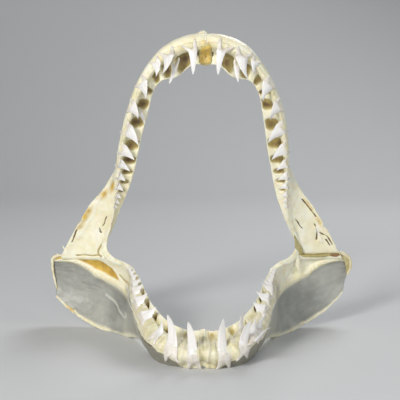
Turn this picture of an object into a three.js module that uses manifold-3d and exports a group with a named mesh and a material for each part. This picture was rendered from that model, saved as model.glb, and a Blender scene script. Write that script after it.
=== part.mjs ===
// Dried jaws of an adult shortfin mako shark (Isurus oxyrinchus), set wide open and standing on the
// chin and the lower edges of the two lower wings.
//
// Millimetres, +Z up, the mouth facing -Y. The animal's right is at -X and its left at +X.
// Each jaw is two cartilages that meet at the midline. Every half is one loft through stations, from the
// midline back to the jaw joint, with its teeth joined on. A short strap of dried ligament lies in each
// corner of the mouth, between the upper and the lower jaw.
import * as THREE from "three";
import { mergeVertices } from "three/addons/utils/BufferGeometryUtils.js";
import Module from "manifold-3d";

const wasm = await Module();
wasm.setup();

// ---------- driving dimensions, mm ----------
const HALF_GAP = 0.3; // from the midline to each half, so that the two halves stand apart
const TIDY = 0.1; // detail smaller than this is dropped from the joined solids
const RING_STEPS = 2; // samples between two control points of a section
const LOFT_STEPS = 18; // sections along one half
const KEEP_BOX = [400, 500, 500]; // a box larger than one half, which trims it at the midline and the floor
const FRAME_SHIFT = new THREE.Vector3(0.5, -14, 0); // puts the origin under the middle of the whole

// Stations of one half, from the midline backwards; x is the distance from the midline.
//   tooth: the edge that carries the working teeth, and behind them the edge of the mouth's corner
//   rim:   the top of the inner (tongue side) wall of the tooth trough
//   far:   the edge away from the teeth
//   bulge: how far the outer face stands out of the line from tooth to far; negative is hollow
//   wall, edge: thickness at half height and at the far edge
const UPPER = [
  { tooth: [0, 8, 304], rim: [0, 20, 286], far: [0, 34, 311], bulge: 10, wall: 18, edge: 8 },
  { tooth: [15, 7, 303], rim: [14, 20, 285], far: [16, 34, 310], bulge: 10, wall: 18, edge: 8 },
  { tooth: [33, 10, 297], rim: [28, 24, 274], far: [35, 36, 303], bulge: 9, wall: 18, edge: 8 },
  { tooth: [47, 14, 287], rim: [44, 27, 270], far: [50, 38, 291], bulge: 7, wall: 16, edge: 8 },
  { tooth: [60, 19, 270], rim: [52, 31, 261], far: [64, 42, 270], bulge: 6, wall: 14, edge: 7 },
  { tooth: [70, 25, 250], rim: [56, 36, 250], far: [74, 48, 249], bulge: 5, wall: 13, edge: 7 },
  { tooth: [79, 34, 225], rim: [62, 44, 225], far: [82, 56, 224], bulge: 4, wall: 12, edge: 7 },
  { tooth: [84, 42, 201], rim: [67, 51, 200], far: [86, 63, 199], bulge: 4, wall: 11, edge: 7 },
  { tooth: [87, 50, 178], rim: [72, 59, 176], far: [91, 69, 176], bulge: 3, wall: 10, edge: 6 },
  { tooth: [89, 57, 155], rim: [78, 66, 152], far: [105, 74, 153], bulge: 1, wall: 8, edge: 6 },
  { tooth: [91, 63, 135], rim: [86, 72, 131], far: [120, 80, 134], bulge: -2, wall: 6, edge: 6 },
  { tooth: [97, 72, 110], rim: [95, 81, 109], far: [135, 88, 110], bulge: -3, wall: 7, edge: 6 },
  { tooth: [107, 81, 86], rim: [106, 91, 86], far: [149, 95, 84], bulge: -1, wall: 9, edge: 8 },
];
const LOWER = [
  { tooth: [0, -79, 19], rim: [0, -50, 32], far: [0, -69, 5], bulge: 3, wall: 22, edge: 14 },
  { tooth: [14, -78, 18], rim: [12, -49, 31], far: [14, -66, 0], bulge: 4, wall: 22, edge: 14 },
  { tooth: [30, -70, 23], rim: [24, -46, 34], far: [30, -57, -3], bulge: 8, wall: 21, edge: 14 },
  { tooth: [43, -55, 32], rim: [37, -36, 39], far: [44, -42, 1], bulge: 10, wall: 20, edge: 12 },
  { tooth: [53, -33, 41], rim: [48, -19, 46], far: [54, -22, 6], bulge: 10, wall: 18, edge: 9 },
  { tooth: [61, -8, 50], rim: [56.5, 3, 54], far: [61, 0, 8], bulge: 9, wall: 15, edge: 8 },
  { tooth: [67, 15, 59], rim: [63, 25, 62], far: [67, 18, 6], bulge: 8, wall: 13, edge: 7 },
  { tooth: [72, 35, 66], rim: [69, 43, 68], far: [75, 35, 2], bulge: 4, wall: 9, edge: 6 },
  { tooth: [78, 53, 71], rim: [75, 60, 72], far: [84, 51, -2], bulge: -1, wall: 5, edge: 6 },
  { tooth: [90, 68, 75], rim: [89, 77, 76], far: [102, 69, -1], bulge: -5, wall: 5, edge: 6 },
  { tooth: [109, 82, 77], rim: [109, 91, 78], far: [122, 82, 5], bulge: -6, wall: 5, edge: 6 },
  { tooth: [137, 94, 75], rim: [137, 102, 75], far: [141, 92, 14], bulge: -5, wall: 5, edge: 6 },
  { tooth: [166, 105, 70], rim: [166, 111, 69], far: [160, 102, 29], bulge: -2, wall: 5, edge: 6 },
];

// Teeth, from the midline backwards.
//   at:      distance along the tooth edge
//   tilt:    from upright towards the midline, seen from the front, degrees
//   forward: out of the front view's plane, towards the front, degrees
//   height, width: root lobes to tip, and across the root lobes
//   seat:    how far the root lobes reach down the outer face from the tooth edge
//   back:    how far a second-row tooth stands behind the first row
const TEETH = {
  upper_right: [
    { at: 13, tilt: 5, forward: 25, height: 35, width: 15, seat: 5 },
    { at: 36, tilt: -12, forward: 42, height: 30, width: 16, seat: 4 },
    { at: 31, tilt: -14, forward: 8, height: 26, width: 11, seat: 0, back: 8 },
    { at: 53, tilt: 6, forward: 30, height: 19, width: 13, seat: 6 },
    { at: 77, tilt: 18, forward: 38, height: 23, width: 17, seat: 5 },
    { at: 104, tilt: 36, forward: 40, height: 22, width: 17, seat: 6 },
    { at: 108, tilt: 32, forward: 10, height: 17, width: 11, seat: 0, back: 6 },
    { at: 131, tilt: 53, forward: 10, height: 27, width: 19, seat: 6 },
    { at: 154, tilt: 64, forward: 5, height: 22, width: 17, seat: 5 },
    { at: 170, tilt: 65, forward: 0, height: 18, width: 13, seat: 5 },
    { at: 184, tilt: 64, forward: 0, height: 12, width: 11, seat: 3 },
    { at: 196, tilt: 64, forward: 0, height: 11, width: 10, seat: 3 },
    { at: 206, tilt: 64, forward: 0, height: 8, width: 8, seat: 2 },
    { at: 213, tilt: 64, forward: 0, height: 7, width: 7, seat: 2 },
    { at: 219, tilt: 64, forward: 0, height: 5, width: 6, seat: 2 },
  ],
  upper_left: [
    { at: 16, tilt: 12, forward: 25, height: 36, width: 16, seat: 6 },
    { at: 36, tilt: -5, forward: 34, height: 34, width: 17, seat: 5 },
    { at: 34, tilt: 0, forward: 8, height: 22, width: 11, seat: 0, back: 8 },
    { at: 52, tilt: 4, forward: 40, height: 19, width: 11, seat: 6 },
    { at: 78, tilt: 28, forward: 28, height: 25, width: 17, seat: 6 },
    { at: 103, tilt: 38, forward: 38, height: 24, width: 17, seat: 6 },
    { at: 129, tilt: 55, forward: 10, height: 27, width: 19, seat: 6 },
    { at: 153, tilt: 62, forward: 5, height: 22, width: 17, seat: 5 },
    { at: 170, tilt: 66, forward: 0, height: 16, width: 13, seat: 4 },
    { at: 184, tilt: 74, forward: 0, height: 14, width: 12, seat: 4 },
    { at: 195, tilt: 74, forward: 0, height: 11, width: 10, seat: 3 },
    { at: 205, tilt: 72, forward: 0, height: 9, width: 9, seat: 3 },
    { at: 211, tilt: 68, forward: 0, height: 7, width: 7, seat: 2 },
    { at: 218, tilt: 68, forward: 0, height: 6, width: 6, seat: 2 },
  ],
  lower_right: [
    { at: 10, tilt: -3, forward: 6, height: 46, width: 14, seat: 15 },
    { at: 31, tilt: -5, forward: 4, height: 43, width: 17, seat: 12 },
    { at: 51, tilt: 16, forward: 5, height: 22, width: 11, seat: 8 },
    { at: 80, tilt: 62, forward: 0, height: 24, width: 15, seat: 13 },
    { at: 108, tilt: 64, forward: 0, height: 21, width: 15, seat: 12 },
    { at: 128, tilt: 67, forward: 0, height: 17, width: 12, seat: 10 },
    { at: 140, tilt: 74, forward: 0, height: 15, width: 10, seat: 8 },
    { at: 152, tilt: 74, forward: 0, height: 10, width: 9, seat: 5 },
    { at: 161, tilt: 72, forward: 0, height: 9, width: 8, seat: 4 },
    { at: 169, tilt: 70, forward: 0, height: 7, width: 7, seat: 3 },
    { at: 175, tilt: 60, forward: 0, height: 5, width: 6, seat: 2 },
  ],
  lower_left: [
    { at: 19, tilt: 4, forward: 6, height: 48, width: 15, seat: 16 },
    { at: 44, tilt: -11, forward: 14, height: 37, width: 15, seat: 14, back: -5 },
    { at: 47, tilt: -4, forward: -5, height: 25, width: 11, seat: 5, back: 8 },
    { at: 60, tilt: -3, forward: 6, height: 24, width: 12, seat: 9, back: -7 },
    { at: 58, tilt: -44, forward: 30, height: 25, width: 13, seat: 4, back: -14 },
    { at: 72, tilt: -22, forward: 12, height: 24, width: 13, seat: 8, back: -10 },
    { at: 92, tilt: 55, forward: 0, height: 18, width: 14, seat: 8 },
    { at: 113, tilt: 72, forward: 0, height: 20, width: 13, seat: 9 },
    { at: 131, tilt: 74, forward: 0, height: 18, width: 11, seat: 9 },
    { at: 138, tilt: 74, forward: 0, height: 15, width: 10, seat: 7 },
    { at: 147, tilt: 70, forward: 0, height: 11, width: 9, seat: 5 },
    { at: 156, tilt: 66, forward: 0, height: 9, width: 8, seat: 4 },
    { at: 163, tilt: 60, forward: 0, height: 7, width: 7, seat: 3 },
    { at: 170, tilt: 55, forward: 0, height: 5, width: 6, seat: 2 },
  ],
};
const ROOT_SHARE = 0.3; // of a tooth's height
const TOOTH_THICKNESS = 0.34; // of its width
const PLAIN_TOOTH = 16; // teeth shorter than this are plain blades without root lobes
// Sections of a crown, as shares: up the tooth's height, half its width, half its thickness.
const PLAIN_SECTIONS = [[0, 0.5, 0.5], [0.51, 0.3, 0.45], [1, 0.02, 0.03]];
const CROWN_SECTIONS = [[0.18, 0.36, 0.5], [0.58, 0.2, 0.4], [1, 0.012, 0.02]];
const PLAIN_OUTLINE = [[-1, 0], [0, 1], [1, 0], [0, -1]];
const CROWN_OUTLINE = [[-1, 0], [-0.45, 0.8], [0.45, 0.8], [1, 0], [0.45, -1], [-0.45, -1]];
// A root lobe runs outwards and down: out by shares of the width, up by shares of the root's height.
const LOBE_SECTIONS = [{ out: 0, up: 0.8, size: 1 }, { out: 0.44, up: 0.2, size: 0.5 }];
const LOBE_SHARES = { wide: 0.14, high: 0.3, thick: 0.5 };

// The whole leans a little as it dried: the arch to the animal's left, the joints to its right.
const SKEW = [
  [0, 0], [60, 0], [85, -2], [130, -2], [180, 0], [250, 2.5], [330, 2.5],
]; // height, sideways shift
const WING_DROP = { right: 0, left: 5 }; // how much higher the lower edge of that side's wing ends
const WING_TRIM = { right: 0, left: 7 }; // how much nearer the midline it ends
const WING_STATIONS = 6; // the last stations of the lower jaw, over which the two sides differ

const NUB = { radius: 4.5, at: [-3, 31, 315] }; // the knot of dried gristle on top of the arch

// The strap of dried ligament in each corner, from the mouth outwards: middle, half width, half height.
// It fills the gap between the end of the upper jaw and the top of the lower one without touching either.
const LIGAMENT = [
  { at: [100, 79, 80], wide: 3, high: 1.5 },
  { at: [108, 85, 81], wide: 6, high: 2.6 },
  { at: [122, 91, 80.7], wide: 7, high: 3.1 },
  { at: [137, 96, 80], wide: 7, high: 3.5 },
  { at: [150, 100, 79], wide: 6, high: 4 },
  { at: [160, 104, 77], wide: 4, high: 3.5 },
];
const LIGAMENT_STEPS = 12; // sections along the strap
const LIGAMENT_SIDES = 12; // points round a section

// A section's shape. Across is a share of the width, out a share of the bulge.
const OUTER_FACE = [{ across: 0.14, out: 0.8 }, { across: 0.38, out: 1 }, { across: 0.72, out: 0.7 }];
const INNER_FACE = { across: 0.62, out: 0.75 }; // the deepest point of the inner wall
const FAR_EDGE = { outer: 0.25, inner: 0.75 }; // shares of the edge's thickness on either side of the far rail
const RIM_LIP = { share: 0.2, most: 9 }; // height of the lip behind the rim
const TROUGH = { share: 0.25, most: 5 }; // depth of the trough that the rows of teeth grow from

// ---------- curves ----------
// Uniform Catmull-Rom through a list of numbers, u in list steps.
function smoothAt(values, u, before) {
  const last = values.length - 1;
  const i = Math.min(Math.floor(u), last - 1);
  const t = u - i;
  const p1 = values[i];
  const p2 = values[i + 1];
  const p0 = i > 0 ? values[i - 1] : before;
  const p3 = i + 2 <= last ? values[i + 2] : 2 * p2 - p1;
  return 0.5 * (2 * p1 + (p2 - p0) * t + (2 * p0 - 5 * p1 + 4 * p2 - p3) * t * t
    + (3 * p1 - p0 - 3 * p2 + p3) * t * t * t);
}

// A station's point or size at u. The stations are mirrored at the midline, so that the halves meet square.
function pointAt(stations, key, u) {
  const column = (k) => stations.map((s) => s[key][k]);
  const mirrored = (k) => (k === 0 ? -1 : 1) * stations[1][key][k];
  return new THREE.Vector3(...[0, 1, 2].map((k) => smoothAt(column(k), u, mirrored(k))));
}
const sizeAt = (stations, key, u) => smoothAt(stations.map((s) => s[key]), u, stations[1][key]);

function skewAt(z) {
  const i = Math.max(0, Math.min(SKEW.length - 2, SKEW.findIndex((row) => row[0] > z) - 1));
  const [z0, a] = SKEW[i];
  const [z1, b] = SKEW[i + 1];
  const t = THREE.MathUtils.clamp((z - z0) / (z1 - z0), 0, 1);
  return a + (b - a) * t * t * (3 - 2 * t);
}

// The frame at u, from the tooth edge: across to the far edge, labial out of the mouth, along backwards.
function frameAt(stations, u) {
  const last = stations.length - 1;
  const middle = (v) => pointAt(stations, "tooth", v).add(pointAt(stations, "far", v));
  const tooth = pointAt(stations, "tooth", u);
  const far = pointAt(stations, "far", u);
  const rim = pointAt(stations, "rim", u);
  const along = u < 1e-6
    ? new THREE.Vector3(1, 0, 0)
    : middle(Math.min(u + 0.05, last)).sub(middle(Math.max(u - 0.05, 0))).normalize();
  const across = far.clone().sub(tooth).normalize();
  const labial = new THREE.Vector3().crossVectors(along, across).normalize();
  if (labial.dot(tooth.clone().sub(rim)) < 0) labial.negate();
  return { tooth, far, rim, along, across, labial };
}

// ---------- solids ----------
// A closed section: outer face from the tooth edge to the far edge, and back up the inner face over the rim.
function sectionAt(stations, u) {
  const f = frameAt(stations, u);
  const bulge = sizeAt(stations, "bulge", u);
  const wall = sizeAt(stations, "wall", u);
  const edge = sizeAt(stations, "edge", u);
  const width = f.far.distanceTo(f.tooth);
  const gap = f.rim.distanceTo(f.tooth);
  const at = (w, n) => f.tooth.clone().addScaledVector(f.across, w * width).addScaledVector(f.labial, n);
  const control = [
    f.tooth,
    ...OUTER_FACE.map((point) => at(point.across, point.out * bulge)),
    f.far.clone().addScaledVector(f.labial, FAR_EDGE.outer * edge),
    f.far.clone().addScaledVector(f.labial, -FAR_EDGE.inner * edge),
    at(INNER_FACE.across, INNER_FACE.out * bulge - wall),
    f.rim.clone().addScaledVector(f.across, Math.min(RIM_LIP.share * width, RIM_LIP.most)),
    f.rim,
    f.tooth.clone().lerp(f.rim, 0.5).addScaledVector(f.across, Math.min(TROUGH.share * gap, TROUGH.most)),
  ];
  const curve = new THREE.CatmullRomCurve3(control, true, "centripetal");
  const count = control.length * RING_STEPS;
  return Array.from({ length: count }, (_, i) => curve.getPoint(i / count));
}

// A closed surface through rings of equal length, with both ends closed across, like the rungs of a ladder.
function loft(rings) {
  const n = rings[0].length;
  const positions = rings.flat().flatMap((p) => [p.x, p.y, p.z]);
  const index = [];
  const quad = (a, b, c, d) => index.push(a, b, c, a, c, d);
  for (let r = 0; r + 1 < rings.length; r++)
    for (let i = 0; i < n; i++)
      quad(r * n + i, r * n + ((i + 1) % n), (r + 1) * n + ((i + 1) % n), (r + 1) * n + i);
  const end = (rings.length - 1) * n;
  for (let i = 0; i < n / 2 - 1; i++) {
    quad(i, n - 1 - i, n - 2 - i, i + 1);
    quad(end + i, end + i + 1, end + n - 2 - i, end + n - 1 - i);
  }
  const geometry = new THREE.BufferGeometry();
  geometry.setAttribute("position", new THREE.Float32BufferAttribute(positions, 3));
  geometry.setIndex(index);
  return geometry;
}

function toSolid(geometry) {
  const bare = geometry.index ? geometry.toNonIndexed() : geometry.clone();
  bare.deleteAttribute("normal");
  bare.deleteAttribute("uv");
  const merged = mergeVertices(bare, 1e-4);
  const triVerts = new Uint32Array(merged.index.array);
  const vertProperties = new Float32Array(merged.attributes.position.array);
  const make = () => new wasm.Manifold(new wasm.Mesh({ numProp: 3, vertProperties, triVerts }));
  const solid = make();
  if (solid.volume() > 0) return solid;
  for (let i = 0; i < triVerts.length; i += 3)
    [triVerts[i + 1], triVerts[i + 2]] = [triVerts[i + 2], triVerts[i + 1]];
  return make();
}

function toGeometry(solid) {
  const mesh = solid.getMesh();
  const geometry = new THREE.BufferGeometry();
  geometry.setAttribute("position", new THREE.BufferAttribute(new Float32Array(mesh.vertProperties), 3));
  geometry.setIndex(new THREE.BufferAttribute(new Uint32Array(mesh.triVerts), 1));
  return geometry;
}

// One tooth, tip up and labial face at +y: a flat blade on two spread root lobes.
function toothSolid({ height, width }) {
  const root = ROOT_SHARE * height;
  const thick = TOOTH_THICKNESS * width;
  const crown = (sections, outline) => toSolid(loft(sections.map(([up, halfWidth, halfThick]) =>
    outline.map(([x, y]) => new THREE.Vector3(x * halfWidth * width, y * halfThick * thick, up * height)))));
  if (height < PLAIN_TOOTH) return crown(PLAIN_SECTIONS, PLAIN_OUTLINE);
  const lobe = (side) => toSolid(loft(LOBE_SECTIONS.map(({ out, up, size }) =>
    PLAIN_OUTLINE.map(([x, y]) => new THREE.Vector3(
      side * width * (out + LOBE_SHARES.wide * size * x),
      thick * LOBE_SHARES.thick * size * y,
      root * (up - LOBE_SHARES.high * size * x),
    )))));
  return crown(CROWN_SECTIONS, CROWN_OUTLINE).add(lobe(-1)).add(lobe(1));
}

// Where along the stations the tooth edge has run a given distance from the midline.
function alongToothEdge(stations, distance) {
  const step = 0.02;
  let u = 0;
  for (let run = 0, p = pointAt(stations, "tooth", 0); run < distance; u += step) {
    const q = pointAt(stations, "tooth", u + step);
    run += q.distanceTo(p);
    p = q;
  }
  return u;
}

function placedTooth(stations, tooth, bite) {
  const f = frameAt(stations, alongToothEdge(stations, tooth.at));
  const tilt = THREE.MathUtils.degToRad(tooth.tilt);
  const forward = THREE.MathUtils.degToRad(tooth.forward);
  const tip = new THREE.Vector3(
    -Math.sin(tilt) * Math.cos(forward), -Math.sin(forward), bite * Math.cos(tilt) * Math.cos(forward),
  );
  const side = f.along.clone().addScaledVector(tip, -f.along.dot(tip)).normalize();
  if (new THREE.Vector3().crossVectors(f.along, f.across).dot(f.labial) < 0) side.negate();
  const face = new THREE.Vector3().crossVectors(tip, side);
  const root = f.tooth.clone().addScaledVector(tip, -tooth.seat)
    .addScaledVector(f.rim.clone().sub(f.tooth).normalize(), tooth.back ?? 0);
  const matrix = new THREE.Matrix4().makeBasis(side, face, tip).setPosition(root);
  return toSolid(toGeometry(toothSolid(tooth)).applyMatrix4(matrix));
}

// One half as it stands: built on +x, cut flat where it meets the floor, mirrored to its side and skewed.
function halfJaw(stations, teeth, bite, side, extra) {
  const last = stations.length - 1;
  const stops = Array.from({ length: LOFT_STEPS + 1 }, (_, i) => (i / LOFT_STEPS) * last);
  const rings = stops.map((u) => sectionAt(stations, u));
  let solid = toSolid(loft(rings));
  for (const tooth of teeth) solid = solid.add(placedTooth(stations, tooth, bite));
  if (extra) solid = solid.add(extra);
  const keep = new THREE.BoxGeometry(...KEEP_BOX).translate(KEEP_BOX[0] / 2 + HALF_GAP, 0, KEEP_BOX[2] / 2);
  solid = solid.intersect(toSolid(keep));
  const whole = solid.simplify(TIDY).decompose().sort((a, b) => b.volume() - a.volume())[0];
  const geometry = toGeometry(whole);
  const position = geometry.attributes.position;
  for (let i = 0; i < position.count; i++) {
    const x = position.getX(i) * (side === "right" ? -1 : 1);
    position.setX(i, x + skewAt(position.getZ(i)));
  }
  position.needsUpdate = true;
  const corners = geometry.index.array;
  if (side === "right")
    for (let i = 0; i < corners.length; i += 3)
      [corners[i + 1], corners[i + 2]] = [corners[i + 2], corners[i + 1]];
  return geometry.translate(...FRAME_SHIFT.toArray());
}

// The lower wing of one side ends a little higher and nearer the midline than the other.
function lowerStations(side) {
  const first = LOWER.length - WING_STATIONS;
  return LOWER.map((s, i) => {
    const share = Math.max(0, (i - first) / (LOWER.length - 1 - first));
    const far = [s.far[0] - WING_TRIM[side] * share, s.far[1], s.far[2] + WING_DROP[side] * share];
    return { ...s, far };
  });
}

function ligament(side) {
  const mirror = side === "right" ? -1 : 1;
  const last = LIGAMENT.length - 1;
  const row = (pick, u) => smoothAt(LIGAMENT.map(pick), u, pick(LIGAMENT[0]));
  const middle = (u) => new THREE.Vector3(...[0, 1, 2].map((k) => row((s) => s.at[k], u)));
  const rings = Array.from({ length: LIGAMENT_STEPS + 1 }, (_, r) => {
    const u = (r / LIGAMENT_STEPS) * last;
    const ahead = middle(Math.min(u + 0.1, last));
    const along = ahead.sub(middle(Math.max(u - 0.1, 0))).setZ(0).normalize();
    const across = new THREE.Vector3(along.y, -along.x, 0);
    return Array.from({ length: LIGAMENT_SIDES }, (_, i) => {
      const angle = (i / LIGAMENT_SIDES) * 2 * Math.PI;
      const p = middle(u).addScaledVector(across, row((s) => s.wide, u) * Math.cos(angle));
      p.z += row((s) => s.high, u) * Math.sin(angle);
      return p.setX(mirror * p.x + skewAt(p.z)).add(FRAME_SHIFT);
    });
  });
  return toGeometry(toSolid(loft(rings)));
}

// ---------- the object ----------
const cartilage = new THREE.MeshStandardMaterial({ color: 0xe9dfb8, roughness: 0.5, metalness: 0 });
const gristle = new THREE.MeshStandardMaterial({ color: 0xb08a4a, roughness: 0.6, metalness: 0 });
const group = new THREE.Group();
function addPart(name, geometry, material) {
  const mesh = new THREE.Mesh(geometry, material);
  mesh.name = name;
  group.add(mesh);
}

for (const side of ["right", "left"]) {
  const nub = side === "right"
    ? toSolid(new THREE.IcosahedronGeometry(NUB.radius, 1).translate(-NUB.at[0], NUB.at[1], NUB.at[2]))
    : null;
  const upper = halfJaw(UPPER, TEETH["upper_" + side], -1, side, nub);
  const lower = halfJaw(lowerStations(side), TEETH["lower_" + side], 1, side, null);
  addPart("upper_jaw_" + side, upper, cartilage);
  addPart("lower_jaw_" + side, lower, cartilage);
  addPart("jaw_ligament_" + side, ligament(side), gristle);
}

export default group;
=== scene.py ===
"""The dried, wide-open jaws of a large shortfin mako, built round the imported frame.

Lengths are in millimetres until a mesh is made. The animal's right is at -X, and the mouth faces -Y.
"""
import math
from collections import namedtuple
from types import SimpleNamespace

import bpy
import bmesh
import numpy as np
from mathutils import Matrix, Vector
from mathutils.bvhtree import BVHTree


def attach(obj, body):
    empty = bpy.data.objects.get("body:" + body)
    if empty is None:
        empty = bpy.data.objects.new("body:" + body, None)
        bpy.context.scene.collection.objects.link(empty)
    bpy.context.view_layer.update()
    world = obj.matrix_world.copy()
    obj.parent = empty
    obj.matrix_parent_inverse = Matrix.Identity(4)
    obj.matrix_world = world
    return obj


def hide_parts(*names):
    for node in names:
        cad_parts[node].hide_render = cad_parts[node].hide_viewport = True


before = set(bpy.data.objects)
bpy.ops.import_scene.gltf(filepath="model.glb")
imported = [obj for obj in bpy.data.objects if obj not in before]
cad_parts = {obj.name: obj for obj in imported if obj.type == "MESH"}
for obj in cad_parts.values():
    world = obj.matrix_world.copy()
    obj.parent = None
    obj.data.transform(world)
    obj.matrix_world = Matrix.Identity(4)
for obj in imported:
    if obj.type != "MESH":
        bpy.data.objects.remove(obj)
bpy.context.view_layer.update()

MM = 0.001
FRAME_SHIFT = np.array([0.5, -14.0, 0.0])  # from the design frame to the part's own

# ---- camera
CAMERA_TARGET = np.array([-3.0, 0.0, 152.0])  # design frame
CAMERA_DISTANCE = 1100.0
CAMERA_ELEVATION = 8.0
LENS, SENSOR = 99.0, 36.0
CLIP_START, CLIP_END = 0.05, 50.0  # metres


def add_object(name, data):
    obj = bpy.data.objects.new(name, data)
    bpy.context.scene.collection.objects.link(obj)
    return obj


def make_camera():
    data = bpy.data.cameras.new("camera")
    data.lens, data.sensor_width = LENS, SENSOR
    data.clip_start, data.clip_end = CLIP_START, CLIP_END
    camera = add_object("camera", data)
    tilt = math.radians(CAMERA_ELEVATION)
    back = np.array([0.0, -math.cos(tilt), math.sin(tilt)])
    camera.location = (CAMERA_TARGET + FRAME_SHIFT + back * CAMERA_DISTANCE) * MM
    camera.rotation_euler = (math.radians(90.0) - tilt, 0.0, 0.0)
    bpy.context.scene.camera = camera
    # Standard keeps the creams and ambers as strong as they are.
    bpy.context.scene.view_settings.view_transform = "Standard"


# ---- sizes of the jaws
# Stations of one half from the midline backwards: tooth edge, rim of the tongue side, far edge, how far the
# outer face bulges, and the thickness of the wall and of the far edge.
UPPER = [
    ((0, 8, 304), (0, 20, 286), (0, 34, 311), 10, 18, 8),
    ((15, 7, 303), (14, 20, 285), (16, 34, 310), 10, 18, 8),
    ((33, 10, 297), (28, 24, 274), (35, 36, 303), 9, 18, 8),
    ((47, 14, 287), (44, 27, 270), (50, 38, 291), 7, 16, 8),
    ((60, 19, 270), (52, 31, 261), (64, 42, 270), 6, 14, 7),
    ((70, 25, 250), (56, 36, 250), (74, 48, 249), 5, 13, 7),
    ((79, 34, 225), (62, 44, 225), (82, 56, 224), 4, 12, 7),
    ((84, 42, 201), (67, 51, 200), (86, 63, 199), 4, 11, 7),
    ((87, 50, 178), (72, 59, 176), (91, 69, 176), 3, 10, 6),
    ((89, 57, 155), (78, 66, 152), (105, 74, 153), 1, 8, 6),
    ((91, 63, 135), (86, 72, 131), (120, 80, 134), -2, 6, 6),
    ((97, 72, 110), (95, 81, 109), (135, 88, 110), -3, 7, 6),
    ((107, 81, 86), (106, 91, 86), (149, 95, 84), -1, 9, 8),
    ((105, 79.5, 78), (106, 89, 78), (153, 97.5, 76), -1, 8, 7),  # dried on to the wing below
]
LOWER = [
    ((0, -79, 19), (0, -50, 32), (0, -69, 5), 3, 22, 14),
    ((14, -78, 18), (12, -49, 31), (14, -66, 0), 4, 22, 14),
    ((30, -70, 23), (24, -46, 34), (30, -57, -3), 8, 21, 14),
    ((43, -55, 32), (37, -36, 39), (44, -42, 1), 10, 20, 12),
    ((53, -33, 41), (48, -19, 46), (54, -22, 6), 10, 18, 9),
    ((61, -8, 50), (56.5, 3, 54), (61, 0, 8), 9, 15, 8),
    ((67, 15, 59), (63, 25, 62), (67, 18, 6), 8, 13, 7),
    ((72, 35, 66), (69, 43, 68), (75, 35, 2), 4, 9, 6),
    ((78, 53, 71), (75, 60, 72), (84, 51, -2), -1, 5, 6),
    ((90, 68, 75), (89, 77, 76), (102, 69, -1), -5, 5, 6),
    ((109, 82, 77), (109, 91, 78), (122, 82, 5), -6, 5, 6),
    ((137, 94, 75), (137, 102, 75), (141, 92, 14), -5, 5, 6),
    ((166, 105, 70), (166, 111, 69), (160, 102, 29), -2, 5, 6),
]
WING_FROM = 6  # stations before the last from which the wings of the two sides differ
WING_RISE = {"right": 0, "left": 5}  # how much higher a wing's lower edge ends
WING_TRIM = {"right": 0, "left": 7}  # and how much further in
# The section between its rails: share of the way from the tooth edge to the far one, and share of the bulge.
OUTER_FACE = ((0.14, 0.8), (0.38, 1.0), (0.72, 0.7))
INNER_FACE = (0.62, 0.75)  # one wall further in
FAR_EDGE = (0.25, 0.75)  # edge thicknesses outwards and inwards of the far rail
RIM_LIP = (0.2, 9.0)  # share of the width, and the most it may be
TROUGH = (0.25, 5.0)  # share of the gap between tooth edge and rim, and the most it may be
# How far the middle stands aside at each height, as pairs of height and shift.
SKEW = [(0, 0), (60, 0), (85, -2), (130, -2), (180, 0), (250, 2.5), (330, 2.5)]
HALF_GAP = 0.12  # half of the slit at the midline

# Teeth from the midline backwards: run along the tooth edge, tilt and forward lean in degrees, height, width,
# how deep it is seated, how far behind the tooth edge it stands.
Tooth = namedtuple("Tooth", "at tilt forward height width seat back")
TEETH = {
    "upper_right": [
        (13, 5, 25, 35, 15, 5, 0), (36, -12, 42, 30, 16, 4, 0), (31, -14, 8, 26, 11, 0, 8),
        (53, 6, 30, 19, 13, 6, 0), (77, 18, 38, 23, 17, 5, 0), (104, 36, 40, 22, 17, 6, 0),
        (108, 32, 10, 17, 11, 0, 6), (131, 53, 10, 27, 19, 6, 0), (154, 64, 5, 22, 17, 5, 0),
        (170, 65, 0, 18, 13, 5, 0), (184, 64, 0, 12, 11, 3, 0), (196, 64, 0, 11, 10, 3, 0),
        (206, 64, 0, 8, 8, 2, 0), (213, 64, 0, 7, 7, 2, 0), (219, 64, 0, 5, 6, 2, 0)],
    "upper_left": [
        (16, 12, 25, 36, 16, 6, 0), (36, -5, 34, 34, 17, 5, 0), (34, 0, 8, 22, 11, 0, 8),
        (52, 4, 40, 19, 11, 6, 0), (78, 28, 28, 25, 17, 6, 0), (103, 38, 38, 24, 17, 6, 0),
        (129, 55, 10, 27, 19, 6, 0), (153, 62, 5, 22, 17, 5, 0), (170, 66, 0, 16, 13, 4, 0),
        (184, 74, 0, 14, 12, 4, 0), (195, 74, 0, 11, 10, 3, 0), (205, 72, 0, 9, 9, 3, 0),
        (211, 68, 0, 7, 7, 2, 0), (218, 68, 0, 6, 6, 2, 0)],
    "lower_right": [
        (10, -3, 6, 46, 14, 15, 0), (31, -5, 4, 43, 17, 12, 0), (51, 16, 5, 22, 11, 8, 0),
        (80, 62, 0, 24, 15, 13, 0), (108, 64, 0, 21, 15, 12, 0), (128, 67, 0, 17, 12, 10, 0),
        (140, 74, 0, 15, 10, 8, 0), (152, 74, 0, 10, 9, 5, 0), (161, 72, 0, 9, 8, 4, 0),
        (169, 70, 0, 7, 7, 3, 0), (175, 60, 0, 5, 6, 2, 0)],
    "lower_left": [
        (19, 4, 6, 48, 15, 16, 0), (44, -11, 14, 37, 15, 14, -5), (47, -4, -5, 25, 11, 5, 8),
        (60, -3, 6, 24, 12, 9, -7), (58, -44, 30, 25, 13, 4, -14), (72, -22, 12, 24, 13, 8, -10),
        (92, 55, 0, 18, 14, 8, 0), (113, 72, 0, 20, 13, 9, 0), (131, 74, 0, 18, 11, 9, 0),
        (138, 74, 0, 15, 10, 7, 0), (147, 70, 0, 11, 9, 5, 0), (156, 66, 0, 9, 8, 4, 0),
        (163, 60, 0, 7, 7, 3, 0), (170, 55, 0, 5, 6, 2, 0)],
}
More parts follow.
